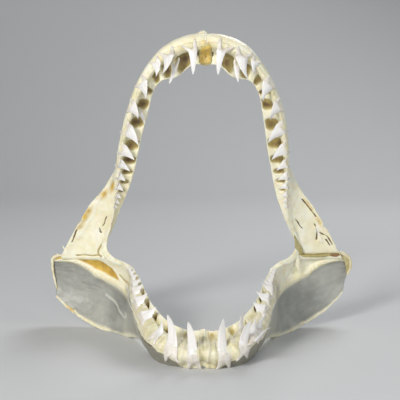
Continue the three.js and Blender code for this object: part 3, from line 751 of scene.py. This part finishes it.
def cartilage(jaw, side):
    """The skin of one half of a jaw."""
    key = jaw + "_" + side
    stations = stations_of(jaw, side)
    seed = SEEDS[key]
    u = np.linspace(0, len(stations) - 1, LOFT_RINGS)
    f = frames(stations, u)
    p = rings(f)
    skin = surface_map(stations, u, p)
    n = grid_normals(p)
    lift, fields = skin_fields(jaw, side, skin, p, seed)
    if jaw == "lower":
        flat = p * np.array([1.0, 0.0, 1.0])
        warp = WING_WARP * layered(flat, 38, seed + 7, 2) * smoothstep(*BUCKLE_BEGIN, skin.u)
        p = p + f["labial"][:, None, :] * warp[..., None]
    wear = edge_wear(key, skin, p, seed)
    p = p + n * lift[..., None] + f["across"][:, None, :] * wear[..., None]
    p[..., 0] = np.maximum(p[..., 0], HALF_GAP)
    p = np.concatenate([p, joint_end(p[-1], f["along"][-1], skin, END_REACH[key])])
    if jaw == "lower":
        p[..., 2] = np.maximum(p[..., 2], 0.0)

    def spread(field):
        rows = np.broadcast_to(field, (LOFT_RINGS, RING_POINTS))
        return np.concatenate([rows, np.repeat(rows[-1:], END_RINGS, axis=0)])

    obj = mesh_object("cartilage_" + key, to_part(p.reshape(-1, 3), side),
                      grid_faces(p.shape[0], RING_POINTS) + midline_faces(),
                      {name: spread(values) for name, values in fields.items()})
    fix_normals(obj, weld=0.00002)
    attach(obj, "root")
    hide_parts(jaw + "_jaw_" + side)
    return obj


# ---- dried gristle
def strap(facing, knots, seed):
    """Points and faces of a closed, lumpy strap. Its width lies in the surface, its thickness stands on it."""
    knots = np.array(knots, float)
    last = len(knots) - 1
    u = np.linspace(0, last, STRAP_STEPS)
    before = np.append(2 * knots[0, :3] - knots[1, :3], knots[0, 3:])
    rows = through(knots, u, before)
    ahead = through(knots, np.minimum(u + 0.05, last), before)
    behind = through(knots, np.maximum(u - 0.05, 0), before)
    tangent = unit(ahead[:, :3] - behind[:, :3])
    flank = unit(np.cross(tangent, np.asarray(facing, float)))
    out = np.cross(flank, tangent)
    middle = rows[:, None, :3]
    half_wide, half_thick = rows[:, 3, None, None] / 2, rows[:, 4, None, None] / 2
    ends = np.sqrt(np.clip(np.minimum(u, last - u) / STRAP_TAPER, 0.02, 1.0))[:, None, None]
    angle = (np.arange(STRAP_ROUND) / STRAP_ROUND * 2 * math.pi)[None, :, None]
    p = middle + flank[:, None, :] * half_wide * ends * np.cos(angle)
    p = p + out[:, None, :] * half_thick * ends * np.sin(angle)
    lumps = np.minimum(half_wide, half_thick) * ends * STRAP_LUMPS
    p = p + unit(p - middle) * lumps * layered(p, LUMP_SIZE, seed, 3)[..., None]
    faces = grid_faces(STRAP_STEPS, STRAP_ROUND)
    faces.append(list(range(STRAP_ROUND))[::-1])
    faces.append([(STRAP_STEPS - 1) * STRAP_ROUND + i for i in range(STRAP_ROUND)])
    return p.reshape(-1, 3), faces


def corner_gristle(side):
    """The pad of the jaw joint, the cord of the mouth's corner and the shreds that dried there."""
    straps, tones = [], []
    for i, (tone, facing, knots) in enumerate(GRISTLE["both"] + GRISTLE[side]):
        p, faces = strap(facing, knots, STRAP_SEED + i)
        straps.append((to_part(p, side), faces))
        tones.append(np.full(len(p), tone))
    obj = mesh_object("gristle_" + side, *merged(straps), {"tone": np.concatenate(tones)})
    fix_normals(obj)
    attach(obj, "root")
    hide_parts("jaw_ligament_" + side)
    return obj


def midline_gristle(jaw):
    """A band round the section at the midline, thickest in the tooth trough, which joins the two halves."""
    ring = rings(frames(UPPER if jaw == "upper" else LOWER, [0.0]))[0]
    tangent = unit(np.roll(ring, -1, axis=0) - np.roll(ring, 1, axis=0))
    out = np.cross(tangent, [1.0, 0.0, 0.0])
    out *= np.sign(np.sum(out * (ring - ring.mean(axis=0))))
    place = np.arange(RING_POINTS) / RING_POINTS
    low, high, wide, tall, tone = MIDLINE[jaw]
    middle, half = (low + high) / 2, (high - low) / 2
    pad = 1.0 - smoothstep(half * 0.5, half, np.abs(round_way(place, middle)))
    half_wide = (BAND_HALF + (wide - BAND_HALF) * pad)[:, None, None]
    height = (BAND_HEIGHT + (tall - BAND_HEIGHT) * pad)[:, None, None]
    angle = (np.arange(BAND_ROUND) / BAND_ROUND * 2 * math.pi)[None, :, None]
    p = ring[:, None, :] + np.array([1.0, 0.0, 0.0]) * half_wide * np.cos(angle)
    p = p + out[:, None, :] * (height * np.sin(angle) + 0.2)
    p = p + out[:, None, :] * (0.1 * layered(p, 6.0, 77, 2))[..., None]
    p[..., 2] = np.maximum(p[..., 2], 0.0)
    rows = np.concatenate([p, p[:1]])
    rows[..., 0] += skew_at(rows[..., 2])
    tint = pad ** 2 * tone + 0.06
    fade = 1.0 - 0.8 * np.cos(angle.ravel()) ** 8
    obj = mesh_object("gristle_midline_" + jaw, (rows + FRAME_SHIFT).reshape(-1, 3),
                      grid_faces(len(rows), BAND_ROUND), {"tone": np.outer(np.append(tint, tint[0]), fade)})
    fix_normals(obj, weld=0.00001)
    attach(obj, "root")
    return obj


def nub():
    """The knot of gristle on top of the arch."""
    bm = bmesh.new()
    bmesh.ops.create_icosphere(bm, subdivisions=4, radius=1.0)
    bm.verts.index_update()
    p = np.array([tuple(v.co) for v in bm.verts]) * NUB_SIZE
    faces = [[v.index for v in face.verts] for face in bm.faces]
    bm.free()
    p = p * (1.0 + 0.09 * layered(p, 3.0, 91, 3))[:, None]
    place = NUB_AT + np.array([float(skew_at(NUB_AT[2])), 0.0, 0.0]) + FRAME_SHIFT
    obj = mesh_object("gristle_nub", p + place, faces, {"tone": np.full(len(p), 0.12)})
    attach(obj, "root")
    return obj


# ---- teeth
# Crowns: height and half width of each ring, from the top of the root to the tip.
CROWNS = {
    "slim": [
        (0.26, 0.37), (0.35, 0.27), (0.49, 0.21), (0.67, 0.165), (0.83, 0.115), (0.94, 0.065), (1.0, 0.012)],
    "full": [
        (0.10, 0.50), (0.22, 0.45), (0.35, 0.35), (0.49, 0.31), (0.67, 0.265), (0.83, 0.20), (0.94, 0.115),
        (1.0, 0.014)],
    "broad": [
        (0.26, 0.47), (0.35, 0.40), (0.47, 0.31), (0.62, 0.215), (0.78, 0.13), (0.91, 0.06), (1.0, 0.012)],
    "side": [
        (0.12, 0.52), (0.24, 0.49), (0.35, 0.43), (0.47, 0.34), (0.62, 0.23), (0.78, 0.13), (0.91, 0.06),
        (1.0, 0.012)],
}
KINDS = {"upper": ("broad", "slim"), "lower": ("side", "full")}  # wide teeth, slim ones
SLIM_RATIO = 2.15  # teeth longer than this many widths are slim
# A crown's ring: share of the half width, how far out, and a part of that which shrinks towards the tip.
CROWN_RING = (
    (1, 0.02, 0), (0.55, 0, 0.17), (0, 0, 0.22), (-0.55, 0, 0.17), (-1, 0.02, 0), (-0.55, 0, -0.26),
    (0, 0, -0.36), (0.55, 0, -0.26))
CUTTING_EDGES = (0, 4)  # points of the ring
SHARP, BLUNT = 0.9, 0.4  # creases of the cutting edges on the crown and on the root
SUBDIVISIONS = 3
LOBE_SIDES = ((1, (0, 1, 2, 6, 7)), (-1, (4, 3, 2, 6, 5)))  # side, and the points of the ring it grows from
LOBE_UPPER = (
    (0.50, 0.03, 0.59), (0.37, 0.20, 0.59), (0.15, 0.17, 0.75), (0.15, -0.26, 0.75), (0.37, -0.32, 0.59))
LOBE_LOWER = (
    (0.56, 0.03, 0.03), (0.48, 0.11, 0.0), (0.36, 0.10, 0.09), (0.36, -0.12, 0.09), (0.48, -0.14, 0.0))
LOBE_END = -0.06  # the height of the lobes' ends; the rows above give shares of the way up to the crown
ROOT_DEEPER = 0.15  # how much longer an upright tooth's root is than the template's
LYING_SHORT = 0.2  # how much shorter a lying tooth's root is
ROOT_SPLAY = 0.8  # how far an upper tooth's two lobes lean backwards along the jaw
DISTAL_SHORT = 0.5  # how much shorter the lobe is on that side
LEAN_SLIM, LEAN_BROAD = 0.05, 0.16  # how far a tip leans backwards along the jaw, for each mm of height
BOW_IN, TIP_OUT = 0.045, 0.035  # the crown's curve inwards and its tip's outwards, for each mm of height
CROWN_FROM = 0.25  # the height from which the crown of a lying tooth stands free
THICK_SCALE = 1.25  # the template's ring is drawn thinner than the tooth
HUG_SHARES = np.linspace(-0.15, 0.95, 15)  # heights at which a root is fitted to the skin
HUG_COLUMNS = np.linspace(-0.55, 0.55, 5)
HUG_NARROW = 0.6  # how much narrower the columns stand at the tip
HUG_REACH = 16.0
HUG_NONE = -4.0  # for a column with no skin behind it
HUG_LIMITS = (-5.0, 11.0)
PROUD = 2.3  # how far a root's outer face stands out of the skin
FRONT_TURN = 36  # how far those lower teeth turn their broad side to the front, degrees
LYING_TILT = 45  # teeth tilted more than this lie across the trough, and are kept clear of it to the tip
LYING_BROAD = 1.25  # how much wider a lying lower tooth is


def crown_rings(bm, crown):
    """Rings of points with faces between them, closed at the tip."""
    levels = []
    for z, half in crown:
        full = 1.0 - 0.93 * smoothstep(0.35, 1.0, z) ** 0.8
        levels.append([bm.verts.new((x * half, out + taper * full, z)) for x, out, taper in CROWN_RING])
    for low, high in zip(levels, levels[1:]):
        for i in range(len(CROWN_RING)):
            k = (i + 1) % len(CROWN_RING)
            bm.faces.new([low[i], low[k], high[k], high[i]])
    bm.faces.new(levels[-1])
    return levels


def root_lobes(bm, foot, top):
    """Two lobes that grow down from the lowest ring of the crown, at height top."""
    for sign, picks in LOBE_SIDES:
        upper = [foot[i] for i in picks]
        for ring in (LOBE_UPPER, LOBE_LOWER):
            lower = [bm.verts.new((sign * x, y, LOBE_END + up * (top - LOBE_END))) for x, y, up in ring]
            for i in range(len(ring)):
                j = (i + 1) % len(ring)
                bm.faces.new([upper[i], lower[i], lower[j], upper[j]])
            upper = lower
        bm.faces.new(upper)


def subdivided(name, bm):
    """Points and faces of a mesh, smoothed by subdivision."""
    mesh = bpy.data.meshes.new(name)
    bm.to_mesh(mesh)
    bm.free()
    obj = add_object(name, mesh)
    modifier = obj.modifiers.new("subdivide", "SUBSURF")
    modifier.levels = modifier.render_levels = SUBDIVISIONS
    smooth = obj.evaluated_get(bpy.context.evaluated_depsgraph_get())
    done = smooth.to_mesh()
    points = np.array([tuple(v.co) for v in done.vertices])
    faces = [list(face.vertices) for face in done.polygons]
    smooth.to_mesh_clear()
    bpy.data.objects.remove(obj)
    bpy.data.meshes.remove(mesh)
    return points, faces


def tooth_template(name, crown):
    """A tooth of height 1 and root width 1: crown rings on a root that is split into two lobes."""
    bm = bmesh.new()
    crease = bm.edges.layers.float.new("crease_edge")
    levels = crown_rings(bm, crown)
    root_lobes(bm, levels[0], crown[0][0])
    bmesh.ops.recalc_face_normals(bm, faces=bm.faces)
    for low, high in zip(levels, levels[1:]):
        for i in CUTTING_EDGES:
            edge = bm.edges.get([low[i], high[i]])
            edge[crease] = SHARP if low[i].co.z > ROOT_SHARE else BLUNT
    return subdivided(name, bm)


def tooth_frame(stations, u_at, tooth, bite):
    """Root, width, labial and tip directions of a tooth, in the half's own space."""
    f = {k: a[0] for k, a in frames(stations, [u_at]).items()}
    tilt, forward = math.radians(tooth.tilt), math.radians(tooth.forward)
    tip = np.array([
        -math.sin(tilt) * math.cos(forward), -math.sin(forward), bite * math.cos(tilt) * math.cos(forward)])
    side = unit(f["along"] - np.dot(f["along"], tip) * tip)
    if np.dot(np.cross(f["along"], f["across"]), f["labial"]) < 0:
        side = -side
    face = np.cross(tip, side)
    if bite > 0 and (tooth.tilt > LYING_TILT or tooth.back < 0):
        twist = math.copysign(math.radians(FRONT_TURN), side[1])
        straight = side
        side = straight * math.cos(twist) + face * math.sin(twist)
        face = face * math.cos(twist) - straight * math.sin(twist)
    root = f["tooth"] - tip * tooth.seat + unit(f["rim"] - f["tooth"]) * tooth.back
    distal = 1.0 if np.dot(side, f["along"]) > 0 else -1.0
    return SimpleNamespace(root=root, side=side, face=face, tip=tip, distal=distal)


def skin_offsets(tree, side, place, tooth):
    """How far the skin stands out of a tooth's middle plane, on a grid over its lower part."""
    mirror = np.array([-1.0 if side == "right" else 1.0, 1.0, 1.0])
    outward = place.face * mirror
    table = np.full((len(HUG_SHARES), len(HUG_COLUMNS)), np.nan)
    for i, share in enumerate(HUG_SHARES):
        for j, column in enumerate(HUG_COLUMNS):
            aside = place.side * column * (1.0 - HUG_NARROW * share) * tooth.width
            p = to_part(place.root + aside + place.tip * share * tooth.height, side)
            start = Vector((p + outward * HUG_REACH) * MM)
            hit = tree.ray_cast(start, Vector(-outward), 1.7 * HUG_REACH * MM)
            if hit[0] is not None:
                table[i, j] = HUG_REACH - hit[3] / MM
    for j in range(table.shape[1]):
        known = np.where(~np.isnan(table[:, j]))[0]
        table[:, j] = np.interp(np.arange(len(table)), known, table[known, j]) if len(known) else HUG_NONE
    for _ in range(2):
        padded = np.pad(table, 1, mode="edge")
        table = (2 * padded[1:-1, 1:-1] + padded[:-2, 1:-1] + padded[2:, 1:-1]
                 + padded[1:-1, :-2] + padded[1:-1, 2:]) / 6.0
    return table


def table_at(table, share, column):
    """The table's value between its points."""
    row = np.clip(np.interp(share, HUG_SHARES, np.arange(len(HUG_SHARES))), 0, len(HUG_SHARES) - 1.001)
    place = np.clip(np.interp(column, HUG_COLUMNS, np.arange(len(HUG_COLUMNS))), 0, len(HUG_COLUMNS) - 1.001)
    i, j = row.astype(int), place.astype(int)
    a, b = row - i, place - j
    return ((1 - a) * (1 - b) * table[i, j] + a * (1 - b) * table[i + 1, j]
            + (1 - a) * b * table[i, j + 1] + a * b * table[i + 1, j + 1])


def hug(table, share, column, half_thick, lying):
    """Labial shift that lays a root on the skin; an upright crown stays where it is."""
    lowest, highest = HUG_LIMITS
    wanted = table_at(table, share, column) + PROUD - half_thick
    floor = np.where(share < 0.22, lowest, 0.0) * (1 - smoothstep(0.16, 0.30, share))
    shift = np.clip(np.maximum(wanted, floor), lowest, highest)
    if not lying:
        return shift * (1.0 - smoothstep(0.30, 0.95, share))
    foot, tip = free_line(table, half_thick)
    free = foot + (tip - foot) * np.clip((share - CROWN_FROM) / (1.0 - CROWN_FROM), 0.0, 1.0)
    return shift + (free - shift) * smoothstep(CROWN_FROM - 0.08, CROWN_FROM + 0.12, share)


def free_line(table, half_thick):
    """Labial shifts at the foot and at the tip of a straight crown that clears the skin below it."""
    wanted = table[:, 1:-1].max(axis=1) + 0.5 * PROUD - half_thick
    foot = float(np.interp(CROWN_FROM, HUG_SHARES, wanted))
    way = (HUG_SHARES - CROWN_FROM) / (1.0 - CROWN_FROM)
    ahead = way > 0.15
    tip = np.max((wanted[ahead] - foot * (1.0 - way[ahead])) / way[ahead])
    return foot, float(np.clip(tip, 0.0, 6.0))


def one_tooth(jaw, template, place, tooth, slim, table):
    """Points of a tooth: the crown leans and bows, and the root lies on the skin."""
    across, out, up = template.T
    lying = tooth.tilt > LYING_TILT
    width = tooth.width * (LYING_BROAD if lying and jaw == "lower" else 1.0)
    thick = TOOTH_THICKNESS * width * THICK_SCALE
    crown = np.clip((up - ROOT_SHARE) / (1 - ROOT_SHARE), 0, 1)
    lean = LEAN_SLIM if slim else LEAN_BROAD
    x = across * width + lean * tooth.height * place.distal * crown ** 1.4
    y = out * thick + tooth.height * (TIP_OUT * crown ** 2 - BOW_IN * np.sin(math.pi * crown))
    if table is not None:
        y = y + hug(table, up, across, 0.2 * thick, lying)
    down = np.maximum(ROOT_SHARE - up, 0.0)
    deeper = (-LYING_SHORT if lying else ROOT_DEEPER) * down
    if jaw == "upper" and not lying:
        x = x + place.distal * ROOT_SPLAY * down * width
        deeper = deeper - DISTAL_SHORT * down * smoothstep(0.0, 0.3, across * place.distal)
    z = (up - deeper) * tooth.height
    return place.root + np.outer(x, place.side) + np.outer(y, place.face) + np.outer(z, place.tip)


def teeth(jaw, side, templates, surface):
    """The teeth of one half as one piece, with fields for their material."""
    key = jaw + "_" + side
    stations = stations_of(jaw, side)
    bite = -1 if jaw == "upper" else 1
    table_u, table_run = edge_runs(stations)
    rng = np.random.default_rng(SEEDS[key])
    tree = BVHTree.FromObject(surface, bpy.context.evaluated_depsgraph_get())
    crowns, share, flank, shade = [], [], [], []
    for tooth in TEETH[key]:
        place = tooth_frame(stations, float(np.interp(tooth.at, table_run, table_u)), tooth, bite)
        slim = tooth.height > SLIM_RATIO * tooth.width or tooth.back > 0
        table = None if tooth.back > 0 else skin_offsets(tree, side, place, tooth)
        template, faces = templates[KINDS[jaw][slim]]
        p = to_part(one_tooth(jaw, template, place, tooth, slim, table), side)
        p[:, 2] = np.maximum(p[:, 2], 0.0)
        crowns.append((p, faces))
        share.append(template[:, 2])
        flank.append(template[:, 0])
        shade.append(np.full(len(template), rng.uniform(0, 1)))
    obj = mesh_object("teeth_" + key, *merged(crowns), {
        "share": np.concatenate(share), "flank": np.concatenate(flank), "shade": np.concatenate(shade)})
    fix_normals(obj)
    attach(obj, "root")
    return obj


# ---- materials
class Nodes:
    """Short calls for building one material."""

    def __init__(self, name):
        self.material = bpy.data.materials.new(name)
        self.material.use_nodes = True
        self.tree = self.material.node_tree
        self.shader = self.tree.nodes["Principled BSDF"]
        self.place = self.tree.nodes.new("ShaderNodeTexCoord").outputs["Object"]

    def feed(self, socket, value):
        if isinstance(value, bpy.types.NodeSocket):
            self.tree.links.new(value, socket)
        elif isinstance(value, tuple) and len(value) == 3 and socket.type == "RGBA":
            socket.default_value = (*value, 1.0)
        else:
            socket.default_value = value

    def field(self, name):
        node = self.tree.nodes.new("ShaderNodeAttribute")
        node.attribute_name = name
        return node.outputs["Fac"]

    def vector(self, *parts):
        node = self.tree.nodes.new("ShaderNodeCombineXYZ")
        for socket, part in zip(node.inputs, parts):
            self.feed(socket, part)
        return node.outputs["Vector"]

    def noise(self, scale, detail=3.0, rough=0.55, at=None):
        node = self.tree.nodes.new("ShaderNodeTexNoise")
        self.feed(node.inputs["Vector"], at or self.place)
        node.inputs["Scale"].default_value = scale
        node.inputs["Detail"].default_value = detail
        node.inputs["Roughness"].default_value = rough
        return node.outputs["Fac"]

    def cells(self, scale):
        node = self.tree.nodes.new("ShaderNodeTexVoronoi")
        self.feed(node.inputs["Vector"], self.place)
        node.inputs["Scale"].default_value = scale
        return node.outputs["Distance"]

    def ramp(self, value, *stops):
        node = self.tree.nodes.new("ShaderNodeValToRGB")
        self.feed(node.inputs["Fac"], value)
        elements = node.color_ramp.elements
        for _ in stops[2:]:
            elements.new(0.5)
        for element, (position, colour) in zip(elements, stops):
            element.position = position
            element.color = (*colour, 1.0)
        return node.outputs["Color"]

    def maths(self, operation, a, b):
        node = self.tree.nodes.new("ShaderNodeMath")
        node.operation = operation
        self.feed(node.inputs[0], a)
        self.feed(node.inputs[1], b)
        return node.outputs[0]

    def plus(self, a, b):
        return self.maths("ADD", a, b)

    def times(self, a, b):
        return self.maths("MULTIPLY", a, b)

    def fit(self, value, low, high, to_low=0.0, to_high=1.0):
        node = self.tree.nodes.new("ShaderNodeMapRange")
        self.feed(node.inputs["Value"], value)
        sockets = ("From Min", "From Max", "To Min", "To Max")
        for socket, number in zip(sockets, (low, high, to_low, to_high)):
            node.inputs[socket].default_value = number
        return node.outputs["Result"]

    def mix(self, share, a, b):
        node = self.tree.nodes.new("ShaderNodeMix")
        node.data_type = "RGBA"
        self.feed(node.inputs["Factor"], share)
        self.feed(node.inputs["A"], a)
        self.feed(node.inputs["B"], b)
        return node.outputs["Result"]

    def bump(self, height, distance, strength=1.0):
        node = self.tree.nodes.new("ShaderNodeBump")
        node.inputs["Strength"].default_value = strength
        node.inputs["Distance"].default_value = distance
        self.feed(node.inputs["Height"], height)
        return node.outputs["Normal"]

    def finish(self, colour, roughness, normal, **values):
        """The material, with values named as the shader's own sockets."""
        self.feed(self.shader.inputs["Base Color"], colour)
        self.feed(self.shader.inputs["Roughness"], roughness)
        self.feed(self.shader.inputs["Normal"], normal)
        for name, value in values.items():
            self.shader.inputs[name.replace("_", " ").title()].default_value = value
        return self.material


IVORY, PALE, CREAM = (0.84, 0.79, 0.56), (0.91, 0.89, 0.74), (0.78, 0.69, 0.37)
GUM, GUM_SHADE = (0.80, 0.76, 0.58), (0.64, 0.58, 0.34)
AMBER, DEEP_AMBER = (0.74, 0.50, 0.08), (0.46, 0.27, 0.03)
# The pockets' colours: olive tissue at their mouths, and painted shade deep inside.
OLIVE, PAINTED_POCKET_SHADE = (0.42, 0.34, 0.11), (0.10, 0.045, 0.012)
BLADE_DARK, BLADE_PALE = (0.22, 0.23, 0.22), (0.40, 0.41, 0.38)
# Grey of the chin's lobes, made very dark as painted shade.
LOBE_GREY_AND_PAINTED_SHADE = (0.14, 0.137, 0.115)
# The second colour is a painted highlight on the raised folds.
CRACK_BROWN, FOLD_HIGHLIGHT, TESSERA_BROWN = (0.10, 0.06, 0.02), (0.90, 0.88, 0.80), (0.55, 0.45, 0.25)
ENAMEL_SHADE, ENAMEL, ENAMEL_WARM = (0.75, 0.73, 0.72), (0.87, 0.86, 0.84), (0.86, 0.80, 0.70)
ROOT_TAN, ROOT_PALE = (0.62, 0.57, 0.50), (0.80, 0.76, 0.69)
STRAP_STRAW, STRAP_OLIVE, STRAP_BROWN = (0.70, 0.60, 0.34), (0.36, 0.31, 0.11), (0.22, 0.09, 0.015)
STRAP_BLOOM = (0.82, 0.76, 0.55)


def plain_cartilage(n, wide, middle):
    """Ivory and cream, the gum bed, and the grey lobes of the chin, darkened with painted shade."""
    colour = n.ramp(middle, (0.32, IVORY), (0.62, PALE))
    colour = n.mix(n.fit(wide, 0.5, 0.72, 0.0, 0.55), colour, CREAM)
    gum = n.mix(n.fit(middle, 0.35, 0.6), GUM_SHADE, GUM)
    colour = n.mix(n.times(n.field("bed"), 0.9), colour, gum)
    return n.mix(n.times(n.field("lobe"), 0.85), colour, LOBE_GREY_AND_PAINTED_SHADE)


def blade_grey(n):
    """Grey, with faint streaks that run down the wing."""
    streaks = n.noise(1.0, 4.0, at=n.vector(n.times(n.field("run"), 5.0), n.times(n.field("across"), 34.0)))
    mottle = n.plus(n.times(streaks, 0.25), n.times(n.noise(24.0, 3.0), 0.75))
    return n.ramp(mottle, (0.36, BLADE_DARK), (0.62, BLADE_PALE))


def with_stains(n, colour, middle, fine):
    amber = n.mix(n.fit(middle, 0.38, 0.62), DEEP_AMBER, AMBER)
    stain = n.plus(n.field("stain"), n.fit(fine, 0.0, 1.0, -0.12, 0.12))
    return n.mix(n.fit(stain, 0.1, 0.8), colour, amber)


def with_pockets(n, colour, middle):
    """Pockets and grooves: olive at their mouths, and painted shade that darkens them inside."""
    pocket_tint_and_shade = n.field("pocket_tint_and_shade")
    inside = n.times(pocket_tint_and_shade, n.fit(middle, 0.3, 0.7, 0.7, 1.3))
    hollow = n.mix(n.fit(inside, 0.5, 1.1), OLIVE, PAINTED_POCKET_SHADE)
    mouth = n.plus(pocket_tint_and_shade, n.fit(middle, 0.3, 0.7, -0.1, 0.1))
    return n.mix(n.fit(mouth, 0.26, 0.5), colour, hollow)


def cartilage_material():
    n = Nodes("dried_cartilage")
    wide, middle, fine = n.noise(26.0, 4.0), n.noise(95.0, 5.0), n.noise(420.0, 4.0)
    tesserae = n.cells(1300.0)
    colour = plain_cartilage(n, wide, middle)
    colour = n.mix(n.field("blade"), colour, blade_grey(n))
    colour = n.mix(n.times(n.field("ridge"), 0.8), colour, n.mix(n.fit(fine, 0.4, 0.6), CREAM, PALE))
    colour = with_stains(n, colour, middle, fine)
    colour = with_pockets(n, colour, middle)
    colour = n.mix(n.fit(n.field("crack"), 0.74, 0.9), colour, CRACK_BROWN)
    # Painted highlight along the raised folds.
    colour = n.mix(n.fit(n.field("fold"), 0.25, 0.9, 0.0, 0.7), colour, FOLD_HIGHLIGHT)
    colour = n.mix(n.fit(tesserae, 0.0, 0.75, 0.0, 0.10), colour, TESSERA_BROWN)
    height = n.plus(n.times(fine, 0.6), n.times(middle, 1.2))
    height = n.plus(height, n.times(tesserae, 0.25))
    return n.finish(
        colour, n.fit(middle, 0.3, 0.7, 0.34, 0.56), n.bump(height, 0.0007, 0.8), subsurface_weight=0.22,
        subsurface_scale=0.003, subsurface_radius=(1.0, 0.62, 0.3), coat_weight=0.12, coat_roughness=0.25)


def tooth_material():
    """Glossy white crowns with fine lines from root to tip, on dull roots."""
    n = Nodes("enamel")
    share, flank, shade = n.field("share"), n.field("flank"), n.field("shade")
    lines = n.noise(1.0, 3.0, at=n.vector(n.times(flank, 10.0), n.times(share, 1.6), n.times(shade, 40.0)))
    spots = n.noise(240.0, 4.0)
    crown = n.mix(n.fit(lines, 0.36, 0.64), ENAMEL_SHADE, ENAMEL)
    crown = n.mix(n.fit(shade, 0.0, 1.0, 0.0, 0.25), crown, ENAMEL_WARM)
    root = n.mix(n.fit(spots, 0.35, 0.65), ROOT_TAN, ROOT_PALE)
    edge = n.plus(share, n.fit(spots, 0.0, 1.0, -0.03, 0.03))
    crowned = n.fit(edge, 0.27, 0.36)
    height = n.plus(n.times(lines, 0.07), n.times(spots, n.fit(crowned, 0.0, 1.0, 1.0, 0.08)))
    return n.finish(
        n.mix(crowned, root, crown), n.fit(crowned, 0.0, 1.0, 0.5, 0.14), n.bump(height, 0.0005, 0.7),
        subsurface_weight=0.15, subsurface_scale=0.0015, subsurface_radius=(1.0, 0.8, 0.6), coat_weight=0.25,
        coat_roughness=0.08)


def gristle_material():
    n = Nodes("dried_ligament")
    wide, fine = n.noise(120.0, 5.0), n.noise(520.0, 4.0)
    tone = n.plus(n.field("tone"), n.fit(wide, 0.25, 0.75, -0.16, 0.16))
    colour = n.ramp(
        tone, (0.0, PALE), (0.25, STRAP_STRAW), (0.5, STRAP_OLIVE), (0.75, AMBER), (1.0, STRAP_BROWN))
    colour = n.mix(n.fit(fine, 0.3, 0.7, 0.0, 0.18), colour, STRAP_BLOOM)
    height = n.plus(wide, n.times(fine, 0.5))
    return n.finish(
        colour, n.fit(wide, 0.3, 0.7, 0.28, 0.55), n.bump(height, 0.0008, 0.9), subsurface_weight=0.25,
        subsurface_scale=0.003, subsurface_radius=(1.0, 0.55, 0.2), coat_weight=0.2, coat_roughness=0.2)


def floor_material():
    n = Nodes("floor")
    return n.finish(FLOOR_GREY, 0.75, n.bump(n.noise(60.0), 0.0001))


# ---- studio, in metres
SWEEP_FRONT, SWEEP_BACK, SWEEP_RADIUS, SWEEP_HIGH, SWEEP_HALF = -4.0, 1.1, 0.7, 3.0, 4.0
SWEEP_STEPS = 24
FLOOR_DROP = 0.0002  # keeps the floor clear of the faces that rest on it
FLOOR_GREY = (0.60, 0.61, 0.62)
LIGHTS = (  # name, place, power in watts, size, colour
    ("key", (-0.75, -1.25, 0.8), 17.8, 0.4, (1.0, 0.98, 0.94)),
    ("front", (0.1, -1.7, 0.6), 7.4, 0.8, (1.0, 1.0, 1.0)),
    ("fill", (1.3, -0.7, 0.7), 4.6, 1.0, (0.92, 0.96, 1.0)),
    ("back", (0.5, 1.0, 1.2), 10.0, 0.7, (1.0, 1.0, 1.0)),
)
LIGHT_AIM = Vector((0.0, 0.0, 0.15))
ROOM_COLOUR, ROOM_STRENGTH = (0.75, 0.78, 0.82, 1.0), 0.2


def make_sweep():
    """A floor that curves up into a backdrop, so that no horizon shows."""
    profile = [(SWEEP_FRONT, 0.0), (SWEEP_BACK, 0.0)]
    for i in range(1, SWEEP_STEPS + 1):
        a = i / SWEEP_STEPS * math.pi / 2
        profile.append((SWEEP_BACK + SWEEP_RADIUS * math.sin(a), SWEEP_RADIUS * (1 - math.cos(a))))
    profile.append((SWEEP_BACK + SWEEP_RADIUS, SWEEP_HIGH))
    verts = [(x, y, z - FLOOR_DROP) for y, z in profile for x in (-SWEEP_HALF, SWEEP_HALF)]
    faces = [(2 * i, 2 * i + 1, 2 * i + 3, 2 * i + 2) for i in range(len(profile) - 1)]
    mesh = bpy.data.meshes.new("floor")
    mesh.from_pydata(verts, [], faces)
    mesh.polygons.foreach_set("use_smooth", [True] * len(mesh.polygons))
    floor = add_object("floor", mesh)
    floor.data.materials.append(floor_material())


def make_lights():
    world = bpy.data.worlds.new("studio")
    world.use_nodes = True
    background = world.node_tree.nodes["Background"]
    background.inputs["Color"].default_value = ROOM_COLOUR
    background.inputs["Strength"].default_value = ROOM_STRENGTH
    bpy.context.scene.world = world
    for name, location, power, extent, colour in LIGHTS:
        data = bpy.data.lights.new(name, "AREA")
        data.energy, data.size, data.color = power, extent, colour
        light = add_object(name, data)
        light.location = location
        light.rotation_euler = (LIGHT_AIM - Vector(location)).to_track_quat("-Z", "Y").to_euler()


# ---- putting it together
make_camera()
make_sweep()
make_lights()
cartilage_look = cartilage_material()
enamel = tooth_material()
gristle_look = gristle_material()
templates = {name: tooth_template(name, crown) for name, crown in CROWNS.items()}
for jaw in ("upper", "lower"):
    for side in ("right", "left"):
        body = cartilage(jaw, side)
        body.data.materials.append(cartilage_look)
        row = teeth(jaw, side, templates, body)
        row.data.materials.append(enamel)
    midline_gristle(jaw).data.materials.append(gristle_look)
for side in ("right", "left"):
    corner_gristle(side).data.materials.append(gristle_look)
nub().data.materials.append(gristle_look)
